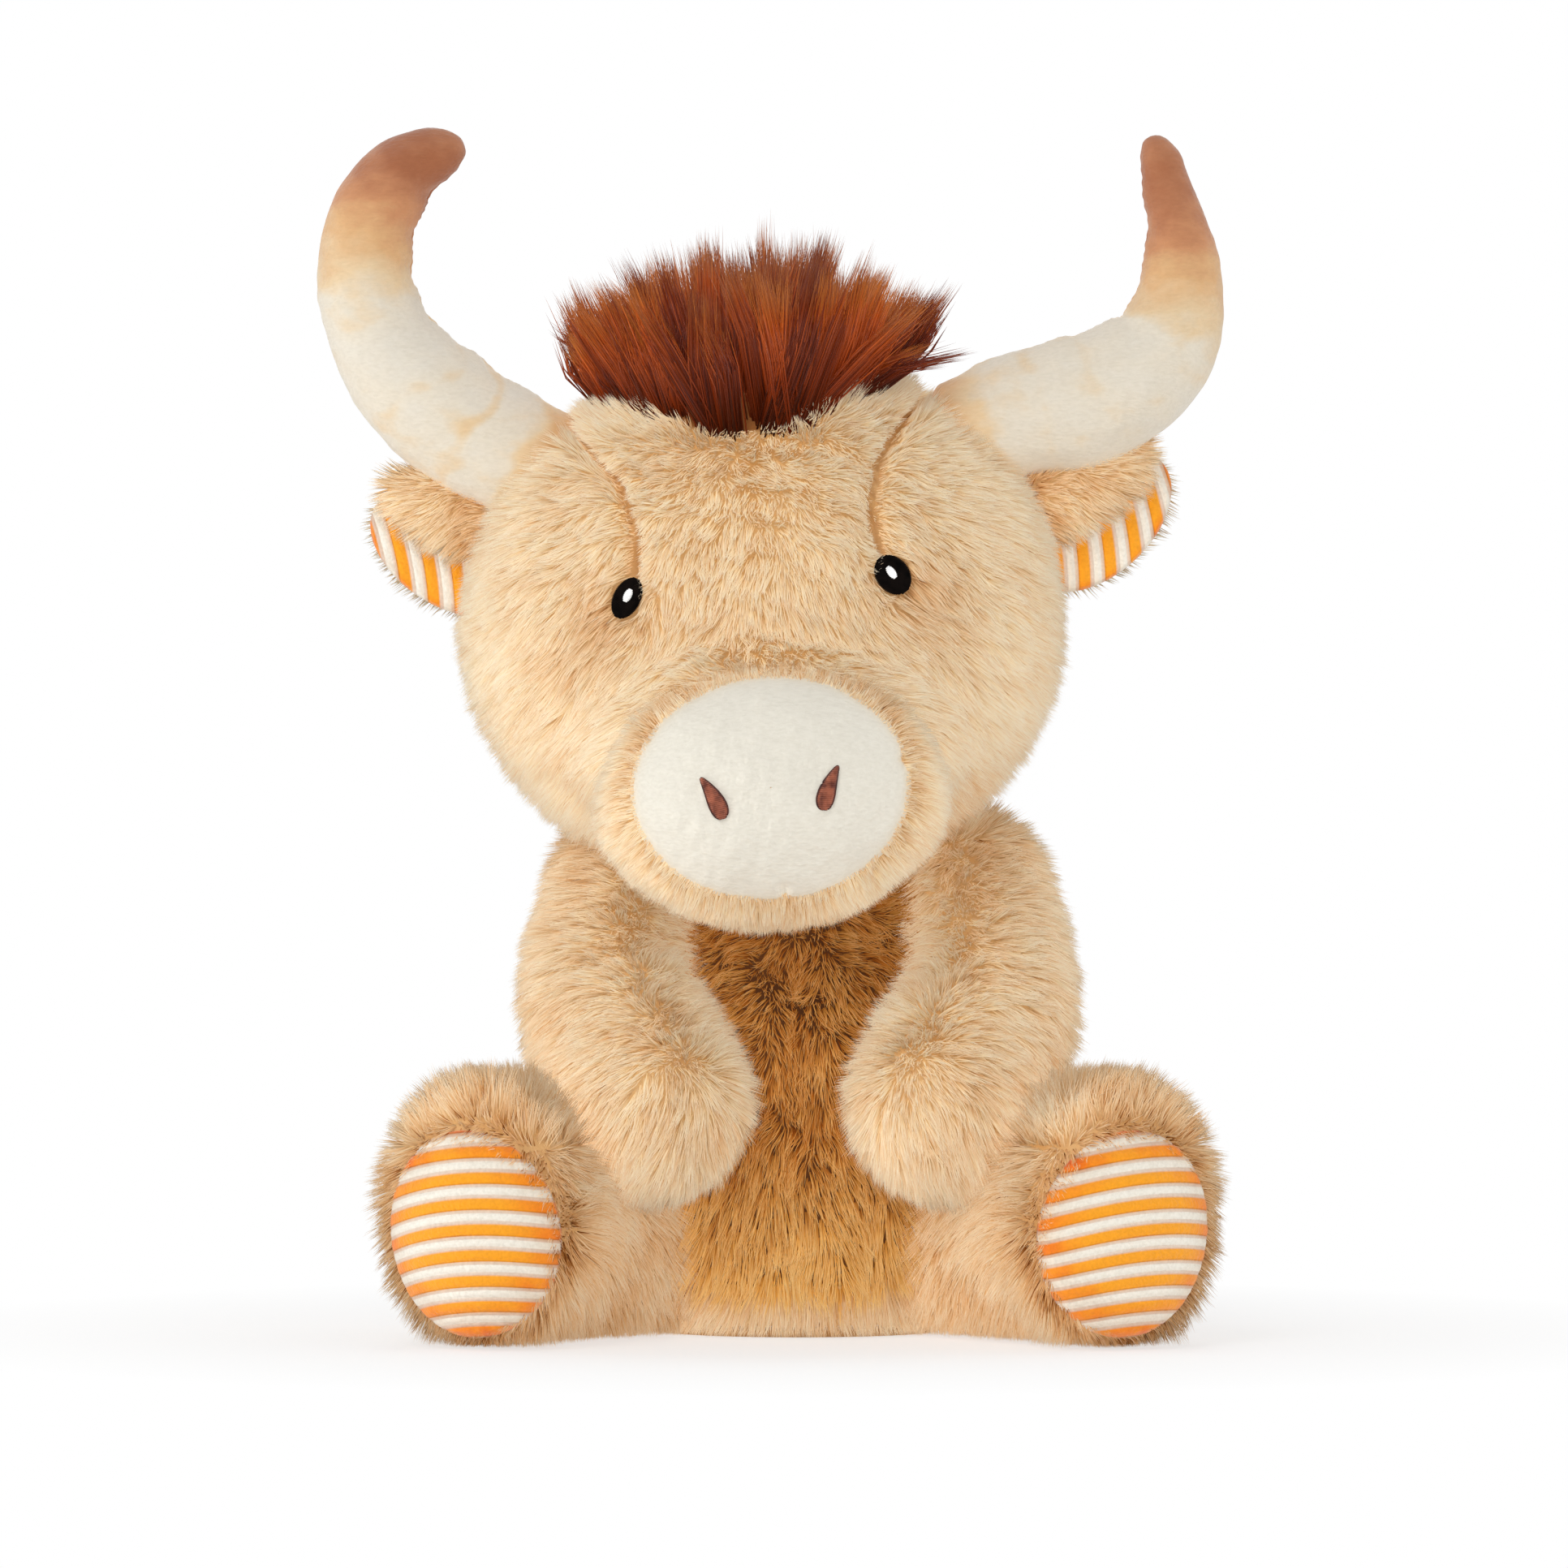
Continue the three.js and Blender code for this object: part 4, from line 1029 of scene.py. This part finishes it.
def stitched(name, kind, node, place, half, count, thick, front, outline=oval, lean=0.0, bend=0.0, rise=0.5):
    """A satin-stitched patch on the head: threads side by side across its long axis, each a low arch."""
    row, across = np.meshgrid((np.arange(count) + 0.5) / count * 2 - 1, np.linspace(-1, 1, 15), indexing="ij")
    x, z = patch_point(place, half, outline, lean, bend, across, row + 0.12 * across * thick / half[1])
    y = front(x, z) - rise * np.sqrt(np.clip(1 - across ** 4, 0, 1)) + 0.5 * (np.abs(across) > 0.97)
    piece = mesh_object(name, kind, *tubes(np.stack((x, y, z), axis=-1), thick), "head", HEAD_FRAME)
    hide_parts(node)


def edging(name, kind, place, half, thick, front, outline, lean, bend):
    """One thread laid round the edge of a stitched patch."""
    turn = np.linspace(0, 2 * math.pi, 60)
    x, z = patch_point(place, half, lambda row: np.maximum(outline(row), 0.02), lean, bend,
                       np.sign(np.sin(turn)), -np.cos(turn))
    path = np.stack((x, front(x, z) - 0.35, z), axis=-1)[None]
    mesh_object(name, kind, *tubes(path, thick), "head", HEAD_FRAME)


def make_nostril(name, side):
    middle = (MUZZLE_MIDDLE[0] + side * NOSTRIL_OUT, NOSTRIL_HEIGHT)
    half = (NOSTRIL_WIDTH / 2, NOSTRIL_LENGTH / 2)
    lean, bend = -side * NOSTRIL_LEAN, side * NOSTRIL_BEND

    def front(x, z):
        return muzzle_front(x, z) - 0.7

    stitched(f"nostril_{name}_threads", "brown", f"nostril_{name}", middle, half, count=23, thick=0.3,
             front=front, outline=comma, lean=lean, bend=bend, rise=0.75)
    edging(f"nostril_{name}_edging", "dark_brown", middle, half, 0.34, front, comma, lean, bend)


def make_eye(name, side):
    """A black eye sunk in the pile, with a white highlight stitched over it."""
    stitched(f"eye_{name}_threads", "black", f"eye_{name}", (side * EYE_OUT, EYE_HEIGHT), EYE_HALVES[name],
             count=30, thick=0.3, front=lambda x, z: head_front(x, z) + 2.2, lean=-side * EYE_LEAN, rise=1.0)
    stitched(f"eye_highlight_{name}_threads", "white", f"eye_highlight_{name}",
             (side * (EYE_OUT - 0.3), EYE_HEIGHT + 0.6), HIGHLIGHT_HALF, count=8, thick=0.26,
             front=lambda x, z: head_front(x, z) + 1.1, lean=-side * EYE_LEAN, rise=0.4)


HAIR_LOCKS, HAIRS_IN_LOCK, HAIR_WIDTH = 190, 76, 0.27
HAIR_LENGTH, HAIR_SPREAD = 50, math.radians(34)
HAIR_OUT, HAIR_LOW, HAIR_RISE = 37, 105, 0.58
HAIR_SUNK = 4.5


def hair_line(x):
    """The height of the tuft's lower edge on the forehead."""
    return HAIR_LOW + HAIR_RISE * np.clip(np.abs(x) - 10, 0, None)


def under_hair(points):
    front = (points[:, 1] < -HEAD_FORWARD - 10) & (np.abs(points[:, 0]) < HAIR_OUT)
    return front & (points[:, 2] > hair_line(points[:, 0]) + 0.5)


def make_hair():
    """Straight glossy locks that fan up and out from a wedge between the forehead and the crown."""
    rng = np.random.default_rng(41)
    locks = HAIR_LOCKS
    share = rng.uniform(-1, 1, locks)
    back = rng.random(locks) ** 1.2
    x = share * HAIR_OUT * (1 - 0.3 * back)
    z_front = hair_line(x)
    y_front = head_front(x, z_front)
    y = y_front + (-HEAD_FORWARD - 12 - y_front) * back
    z = z_front + (np.minimum(crown_height(x, y), HEAD_HIGH) - z_front) * np.clip(back * 3, 0, 1)
    root = np.stack((x, y + HAIR_SUNK, z - HAIR_SUNK), axis=1)
    stray = 1 + 1.8 * (rng.random(locks) < 0.1)
    angle = share * HAIR_SPREAD + rng.normal(size=locks) * 0.16 * stray
    forward = -0.16 + 0.3 * back + rng.normal(size=locks) * 0.1
    way = unit(np.stack((np.sin(angle), forward, np.cos(angle)), axis=1))
    size = HAIR_LENGTH * (1 - 0.42 * np.abs(share) ** 1.6) * (1 - 0.3 * back)
    size = size * (0.68 + 0.42 * rng.random(locks))
    lock = np.repeat(np.arange(locks), int(HAIRS_IN_LOCK * DETAIL))
    count = len(lock)
    spread = rng.normal(size=(count, 3)) * (1.4, 0.8, 0.5)
    start = root[lock] + spread
    start[:, 1] = np.maximum(start[:, 1], head_front(start[:, 0], start[:, 2]) + HAIR_SUNK)
    end = root[lock] + way[lock] * (size[lock] * (0.84 + 0.2 * rng.random(count)))[:, None]
    end = end + spread * (0.4 + 1.2 * rng.random(count))[:, None] + rng.normal(size=(count, 3)) * 0.8
    bow = (rng.normal(size=(locks, 3)) * 1.4)[lock] + rng.normal(size=(count, 3)) * 0.4
    bend = start + (end - start) * 0.6 + bow - (0, 1.5, 0)
    tone = 0.4 + 0.22 * rng.normal(size=locks)[lock] + 0.2 * rng.normal(size=count)
    loose_hair("hair_locks", "hair_tuft", "head", start, end, HAIR_WIDTH, tone, rng, bend, HEAD_FRAME)


# Where the horn's colour turns brown, as shares of its length, and how blotched it is.
HORN_FADE = {"left": (0.52, 0.86), "right": (0.5, 0.86)}
HORN_BLOTCHES = {"left": 0.15, "right": 0.07}
FOLD_PACE = 46


def make_horn(name, side):
    """A horn with cross folds, and a puckered seam along its inner side."""
    form = horn_form(name)
    run = form.run
    off_seam = np.abs((form.turn - (math.pi if side > 0 else 0.0) + math.pi) % (2 * math.pi) - math.pi)

    def wave(points):
        return run * FOLD_PACE + 1.6 * ripple(points, 26, 51)

    def wrinkles(points):
        folds = np.sin(wave(points) + 0.8 * np.cos(form.turn))
        shift = 0.28 * folds * (0.3 + bump(off_seam, 0.8)) * rounded(run, 0.2, 0.15)
        shift -= 1.1 * bump(off_seam, 0.06) * rounded(run, 0.08, 0.05)
        puckers = np.sin(run * 230) * bump(off_seam, 0.16) * (0.3 + 0.7 * run)
        return shift + 0.22 * puckers + 0.3 * ripple(points, 24, 52) + 0.07 * ripple(points, 4, 53)

    form.move(wrinkles)
    piece = cloth_piece(f"horn_{name}_velour", "horn", form.points, form.faces, f"horn_{name}", fill=0.85,
                        node=f"horn_{name}", matrix=HEAD_FRAME)
    valley = np.clip(-np.sin(wave(form.points)), 0, 1) ** 2
    blotch = 0.5 * ripple(form.points, 30, 54) + valley * np.clip(np.sin(run * 7), 0, 1)
    # Tan along the seam, and painted shade at the base where the horn meets the head.
    edges = 0.16 * bump(off_seam, 0.14) + 0.42 * bump(run, 0.08, 0.03)
    brown = 0.22 + HORN_BLOTCHES[name] * blotch + edges + 0.7 * climb(run, *HORN_FADE[name])
    paint(piece, run=brown.clip(0.02, 1))


def make_ear(name, side):
    middle = np.array(EAR_MIDDLE[name], float)
    reach = np.array((side * math.cos(EAR_TILT), 0, math.sin(EAR_TILT))) * EAR_HALF[0]
    centre = middle + mirrored(side, EAR_SHIFT)
    half = (EAR_HALF[2], EAR_HEIGHT_SHARE * EAR_HALF[1])
    form = straight_form(centre - reach, centre + reach, half, (0.5, 0.5), (0, 0, 1), 64, 48).grow(-EAR_INSET)

    def tone(root):
        # Uneven tone, and painted shade in the corner next to the head.
        return 0.12 * ripple(root, 14, 9) - 0.15 - 0.4 * climb(side * root[:, 0], 78, 66)

    coat(f"ear_{name}", f"ear_{name}", form, f"ear_{name}", ear_comb(side), seed=31 + side, density=3.0,
         length=6.4, tone=tone, fill=0.4, matrix=HEAD_FRAME)
    lining = middle + mirrored(side, LINING_OFFSET)
    make_ear_back(name, side, lining)
    make_lining(name, side, lining)


def make_ear_back(name, side, centre):
    """The furred back of the ear, behind its lining."""
    slope = side * LINING_TILT
    centre = centre + (0, EAR_BACK_SHIFT, 0)
    reach = np.array((math.cos(slope), 0, math.sin(slope))) * (LINING_SHOWN[0] - EAR_BACK_INSET)
    half = (EAR_BACK_HALF, LINING_SHOWN[1] - EAR_BACK_INSET)
    form = straight_form(centre - reach, centre + reach, half, (0.5, 0.5), (0, 0, 1), 64, 48)
    coat(f"ear_back_{name}", None, form, f"ear_{name}", ear_comb(side), seed=35 + side, density=2.6, length=5,
         keep=lambda root, normal: normal[:, 1] > 0.2, fill=0.3, matrix=HEAD_FRAME)


def rib_height(band):
    """Height of the ribs across their bands, 0 in the grooves and 1 on the crests."""
    place = np.mod(band, 1)
    height = np.zeros_like(place)
    for a, b in zip(RIB_EDGES[:-1], RIB_EDGES[1:]):
        arch = np.sqrt(np.clip(1 - (2 * (place - a) / (b - a) - 1) ** 2, 0, 1))
        height = np.where((place >= a) & (place < b), min(1, 0.45 + (b - a)) * arch, height)
    return height


def ribbed(name, node, body, half, place, band, matrix=None, thick=2.4, rim_start=0.6):
    """An oval of ribbed plush: place turns flat places into points, band gives each its stripe."""
    reach, angle = polar_grid(120, 340)
    a, c = half[0] * reach * np.cos(angle), half[1] * reach * np.sin(angle)
    stripe = band(a, c)
    flat = np.stack((a.ravel(), c.ravel(), np.zeros(a.size)), axis=1)
    nap = (0.09 * ripple(flat, 2.2, 61) + 0.06 * ripple(flat, 0.9, 62)).reshape(a.shape)
    tuck = climb(reach, 0.94, 1) ** 2
    top = place(a, c, RIB_HEIGHT * rib_height(stripe) * (1 - tuck) + nap - 1.2 * tuck)
    bottom = place(a, c, np.full_like(a, -thick))
    piece = cloth_piece(name, "stripes", *closed_sheet(top, bottom), body, fill=0.5, node=node, matrix=matrix)
    edge = climb(reach, rim_start, 1).ravel() * (0.6 + 0.4 * ripple(flat, 12, 63))
    paint(piece, band=np.tile(stripe.ravel(), 2), rim=np.tile(edge.clip(0, 1), 2))


def make_lining(name, side, centre):
    """The striped inside of the ear, cupped towards the front."""
    slope = side * LINING_TILT

    def turned(a, c):
        return a * math.cos(slope) - c * math.sin(slope), a * math.sin(slope) + c * math.cos(slope)

    def place(a, c, height):
        across, up = turned(a, c)
        cup = -2.2 * (1 - (a / LINING_SHOWN[0]) ** 2 * 0.5)
        return np.stack((centre[0] + across, centre[1] + cup - height, centre[2] + up), axis=-1)

    def band(a, c):
        across, up = turned(a, c)
        return (across + 0.12 * up + 0.006 * up * up) / (RIB_PERIOD * 1.06)

    ribbed(f"ear_lining_{name}_velour", f"ear_lining_{name}", f"ear_{name}", LINING_SHOWN, place, band,
           HEAD_FRAME, thick=1.6, rim_start=0.85)


# The body and limbs.

def belly_reach(points):
    """0 in the middle of the belly panel seen from the front, 1 at its rim."""
    low, high = BELLY_RANGE
    across, up = points[:, 0] / BELLY_HALF, (points[:, 2] - (low + high) / 2) / ((high - low) / 2)
    return (across ** 4 + up ** 4) ** 0.25


def on_belly(points):
    return (belly_reach(points) < 1) & (points[:, 1] < 0)


def torso_covered():
    """A test that says where on the torso a neighbour or the ground leaves no room for pile."""
    neighbours = [head_form().placed(HEAD_FRAME)]
    neighbours += [make(side) for make in (arm_form, leg_form) for side in SIDES.values()]
    tests = [inside(form, PILE_UNDER) for form in neighbours]

    def covered(root):
        return np.any([root[:, 2] < PILE_FLOOR, *(test(root) for test in tests)], axis=0)

    return covered


def above_floor(root):
    """Trims the pile shorter near the ground."""
    return np.clip((root[:, 2] - 2) / 9, 0.85, 1)


def make_torso():
    """The back and the sides, with a seam down the back."""
    def back_seam(points, width):
        return bump(near_path(points, BACK_SEAM), width) * (points[:, 1] > 0)

    def tone(root):
        # Painted shade in the back seam's groove and on the front beside the belly and the legs.
        front = climb(root[:, 1], -12, -26) * climb(root[:, 2], 6, 14)
        return 0.12 * ripple(root, 35, 15) - 0.12 - 0.5 * back_seam(root, 1.8) - 0.35 * front

    form = torso_cloth().move(lambda points: -1.6 * back_seam(points, 2) * (points[:, 2] > 6))
    covered = torso_covered()
    coat("torso", "torso", form, "torso", down_comb(0.4), seed=51, length=9.5,
         keep=lambda root, normal: ~covered(root) & ~on_belly(root), tone=tone, trim=above_floor, floor=0.2)


def make_belly():
    def tone(root):
        return 0.5 * climb(root[:, 2], 52, 18) - 0.52 + 0.1 * ripple(root, 30, 16)

    def keep(root, normal):
        return ~covered(root) & on_belly(root)

    form, covered = torso_cloth(0.3), torso_covered()
    panel = cut_shell(form, on_belly(form.points), 1.6)
    coat("belly", "belly_panel", form, "torso", down_comb(0.25), "belly", panel, seed=52, density=2.3,
         length=9.5, keep=keep, tone=tone, trim=above_floor, floor=0.2, sway=0.5, fill=0.3)


def dress(node, kind):
    """Gives a node of the frame its material."""
    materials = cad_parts[node].data.materials
    materials.clear()
    materials.append(MATERIALS[kind])


def make_collar():
    """A furred sleeve over the neck, which closes the gap between the head and the body."""
    start, end = ((NECK[0], COLLAR_BACK, height) for height in COLLAR_RANGE)
    form = straight_form(start, end, COLLAR_HALF, (0.3, 0.3), (0, 1, 0), 96, 48)
    coat("neck", "neck_plug", form, "neck", down_comb(0, 12), seed=57, density=2.2, length=8,
         keep=lambda root, normal: normal[:, 1] > -0.4)


def make_seat():
    """A flat cloth base with a puckered hem."""
    low, high = box_mm("seat_panel")
    half = (high - low) / 2 - SEAT_HIDDEN
    reach, angle = polar_grid(40, 160)
    x, y = half[0] * reach * np.cos(angle), half[1] * reach * np.sin(angle)
    pucker = 0.35 * (1 + np.sin(angle * 28)) * climb(reach, 0.75, 0.95) * climb(reach, 1, 0.95)
    top, bottom = (np.stack((x, y, z), axis=-1) for z in (np.full_like(x, high[2]), low[2] + pucker))
    cloth_piece("seat_cloth_panel", "seat", *closed_sheet(top, bottom), "torso", fill=0.2, node="seat_panel")


def make_arm(name, side):
    in_torso = inside(torso_form(), PILE_UNDER)
    in_head = inside(head_form().placed(HEAD_FRAME), PILE_UNDER)

    def keep(root, normal):
        return ~in_torso(root) & ~in_head(root)

    def tone(root):
        high, low = climb(root[:, 2], 100, 125), climb(root[:, 2], 50, 36)
        inwards = climb(side * root[:, 0], 16, 2)
        # Uneven tone, with painted shade up under the head and on the inner side by the belly, and lighter
        # towards the paw.
        return 0.12 * ripple(root, 22, 17) - 0.08 - 0.2 * high - 0.25 * inwards + 0.08 * low

    comb = limb_comb(mirrored(side, SHOULDER), mirrored(side, PAW), side * 0.6)
    coat(f"arm_{name}", f"arm_{name}", arm_form(side).grow(-INSET), f"arm_{name}", comb, seed=61 + side,
         density=3.0, keep=keep, tone=tone, stand=0.95, face=(0, -0.9, 0.2))


def foot_places(side):
    """The foot's middle, the way it faces, and the way across it."""
    facing = foot_facing(side)
    return mirrored(side, FOOT), facing, np.cross((0, 0, 1.0), facing)


def sole_reach(points, side, grow=0.0):
    """0 in the middle of the sole and 1 at its rim, and how far in front of the foot's middle."""
    middle, facing, across = foot_places(side)
    away = points - middle
    aside, up = away @ across, away[:, 2] + SOLE_DROP
    return np.hypot(aside / (SOLE_HALF[0] + grow), up / (SOLE_HALF[1] + grow)), away @ facing


def make_leg(name, side):
    """A leg, whose pile turns round a whorl on the outside of the foot and away from the sole."""
    in_torso = inside(torso_form(), PILE_UNDER)
    middle, facing, across = foot_places(side)
    whorl = middle - facing * 6 - across * side * 31 + (0, 0, -8)

    def keep(root, normal):
        reach, ahead = sole_reach(root, side, -1.6)
        return ~in_torso(root) & ~((reach < 1) & (ahead > -4)) & (root[:, 2] > 1.6)

    def tone(root):
        reach, ahead = sole_reach(root, side)
        edge = bump(reach, 0.1, 1) * (ahead > -6)
        inner = climb(side * root[:, 0], 60, 40)
        # Uneven tone, with painted shade round the sole's rim and on the inner side, and darker at the whorl.
        return 0.14 * ripple(root, 22, 18) - 0.3 - 0.04 * inner - 0.3 * edge - 0.15 * dent(root, whorl, 6)

    def trim(root):
        reach, ahead = sole_reach(root, side)
        near_sole = bump(reach, 0.12, 1) * (ahead > -4)
        return (1 - 0.4 * near_sole) * np.clip((root[:, 2] + 1) / 9, 0.6, 1)

    def comb(root, normal):
        reach, ahead = sole_reach(root, side)
        ring = unit(root - middle) * ((ahead > -2) * np.clip((reach - 1.06) / 0.1, -0.9, 1))[:, None]
        flow = facing * 0.35 + np.array((0, 0, -0.75)) * (root[:, 2:3] < 50) + ring * 0.9
        flow = flow + unit(root - whorl) * dent(root, whorl, 14)[:, None] * 1.5
        flow[:, 0] += 0.2 * ripple(root, 24, 19)
        return unit(flow)

    form = leg_form(side, LEG_SLIM).grow(-LIMB_INSET).above(LIMB_INSET)
    coat(f"leg_{name}", f"leg_{name}", form, f"leg_{name}", comb, seed=71 + side, length=9, keep=keep,
         tone=tone, trim=trim, floor=0.5, stand=1.05)
    make_sole(name, side)


def make_sole(name, side):
    """The striped sole, which follows the rounded front of the foot."""
    middle, facing, across = foot_places(side)

    def place(a, c, height):
        up = c - SOLE_DROP
        rho = np.clip((a / FOOT_HALF[0]) ** 2 + (up / FOOT_HALF[1]) ** 2, 0, 1)
        ahead = FOOT_CAP - 1.6 * FOOT_CAP * (1 - np.sqrt(1 - rho)) + 0.4 + height
        ways = ((a, across), (ahead, facing), (up, np.array((0, 0, 1.0))))
        return middle + sum(amount[..., None] * way for amount, way in ways)

    def band(a, c):
        outwards = a * np.sign(across[0])
        return (c + 0.006 * (outwards + 4) ** 2 - 0.14 * outwards) / RIB_PERIOD

    ribbed(f"sole_{name}_velour", f"sole_{name}", f"leg_{name}", SOLE_HALF, place, band)


def make_tail():
    """A thin furred tail that ends in a tuft of loose hair."""
    low, high = box_mm("tail")
    tuft_low, tuft_high = box_mm("tail_tuft")
    y = (low[1] + high[1]) / 2
    spine, _ = spline([(0, y - 2, high[2] - 2), (0, y, (low[2] + high[2]) / 2), (0, y, low[2])])

    def radius(t):
        return TAIL_HALF * rounded(t, 0.15, 0.15)

    coat("tail", "tail", Form(spine, radius, radius, (0, 1, 0), 32, 40), "tail", down_comb(0, 3), seed=81,
         density=2.2, length=6.5, fill=0.8)
    rng = np.random.default_rng(82)
    count = int(TAIL_HAIRS * DETAIL)
    start = np.array((0, y, tuft_high[2] - 2)) + rng.normal(size=(count, 3)) * (2.2, 2.2, 2)
    end = start * (1, 1, 0) + rng.normal(size=(count, 3)) * (2.6, 2.4, 2.5)
    end[:, 2] = np.maximum(end[:, 2] + tuft_low[2] + 4, 0.8)
    bend = (start + end) / 2 + (start - (0, y, 0)) * (0.9, 0.9, 0)
    tone = 0.45 + 0.2 * rng.normal(size=count)
    loose_hair("tail_hair", "tail_tuft", "tail", start, end, TAIL_HAIR_WIDTH, tone, rng, bend)


# The camera, the floor and the lamps.

VIEW_WIDTH, VIEW_MIDDLE = 393, (-3.7, 138.8)
LENS, SENSOR = 200, 36
FACE_DEPTH = -30
WRAP_POWER = {"left": 16, "right": 12.5}


def make_camera():
    data = bpy.data.cameras.new("camera")
    data.lens, data.sensor_width, data.clip_end = LENS, SENSOR, 20
    camera = bpy.data.objects.new("camera", data)
    bpy.context.scene.collection.objects.link(camera)
    camera.location = Vector((VIEW_MIDDLE[0], FACE_DEPTH - VIEW_WIDTH * LENS / SENSOR, VIEW_MIDDLE[1])) * MM
    camera.rotation_euler = (math.radians(90), 0, 0)
    bpy.context.scene.camera = camera


def make_floor():
    """A pale floor that keeps the shadow near the object and turns white further out."""
    bpy.ops.mesh.primitive_plane_add(size=12)
    floor = bpy.context.object
    floor.name = "floor"
    shade = Shade("pale_floor", 0.9)
    shade.shader.inputs["Base Color"].default_value = (0.86, 0.86, 0.86, 1)
    seen = shade.node("LightPath").outputs["Is Camera Ray"]
    reach = shade.node("VectorMath", {0: shade.place()}, operation="LENGTH").outputs["Value"]
    near, far = {"From Min": 0.1, "To Min": 0.5}, {"From Max": 0.24, "To Max": 1.0}
    fade = shade.node("MapRange", {"Value": reach, **near, **far})
    amount = shade.calculate("MULTIPLY", fade.outputs["Result"], seen)
    glow = shade.node("Emission", {"Color": (1, 1, 1), "Strength": 1.0})
    both = shade.node("MixShader", {0: amount, 1: shade.shader.outputs["BSDF"], 2: glow.outputs["Emission"]})
    shade.links.new(both.outputs["Shader"], shade.nodes["Material Output"].inputs["Surface"])
    floor.data.materials.append(shade.material)


def make_lamp(name, place, size, power, shadow=True, target=(0, 0, 0.13)):
    data = bpy.data.lights.new(name, "AREA")
    data.use_shadow = shadow
    data.shape, data.size, data.energy = "DISK", size, power
    lamp = bpy.data.objects.new(name, data)
    bpy.context.scene.collection.objects.link(lamp)
    lamp.location = place
    lamp.rotation_euler = (Vector(target) - Vector(place)).to_track_quat("-Z", "Y").to_euler()


def make_world():
    """White where the camera or a gloss sees it, and dimmer as a light."""
    world = bpy.data.worlds.new("studio")
    bpy.context.scene.world = world
    world.use_nodes = True
    nodes, links = world.node_tree.nodes, world.node_tree.links
    paths = nodes.new("ShaderNodeLightPath")
    direct = nodes.new("ShaderNodeMath")
    direct.operation = "MAXIMUM"
    links.new(paths.outputs["Is Camera Ray"], direct.inputs[0])
    links.new(paths.outputs["Is Glossy Ray"], direct.inputs[1])
    strength = nodes.new("ShaderNodeMapRange")
    strength.inputs["To Min"].default_value = 0.33
    strength.inputs["To Max"].default_value = 1
    links.new(direct.outputs[0], strength.inputs["Value"])
    links.new(strength.outputs["Result"], nodes["Background"].inputs["Strength"])
    nodes["Background"].inputs["Color"].default_value = (1, 1, 1, 1)


bpy.context.scene.view_settings.view_transform = "Standard"
make_camera()
make_floor()
make_world()
make_lamp("key", (-0.5, -1.5, 1.1), 0.8, 8.5)
make_lamp("fill", (0.2, -2.2, 0.5), 1.2, 11, shadow=False)
make_lamp("top", (0.1, 0.4, 1.9), 1.0, 6)
make_lamp("under", (0.0, -1.5, -1.0), 1.2, 7, shadow=False)
for name, side in SIDES.items():
    make_lamp(f"{name}_wrap", (side * 2.0, -0.35, 0.5), 1.0, WRAP_POWER[name], shadow=False)
make_lamp("back_wrap", (0.0, 2.1, 0.6), 1.2, 15, shadow=False)

make_head()
make_muzzle()
make_snout()
make_hair()
make_torso()
make_belly()
make_collar()
make_seat()
make_tail()
for make_pair in (make_nostril, make_eye, make_horn, make_ear, make_arm, make_leg):
    for name, side in SIDES.items():
        make_pair(name, side)
for node, kind in (("torso_stuffing", "filling"), ("pellet_bag", "pellets"), ("head_stuffing", "filling")):
    dress(node, kind)
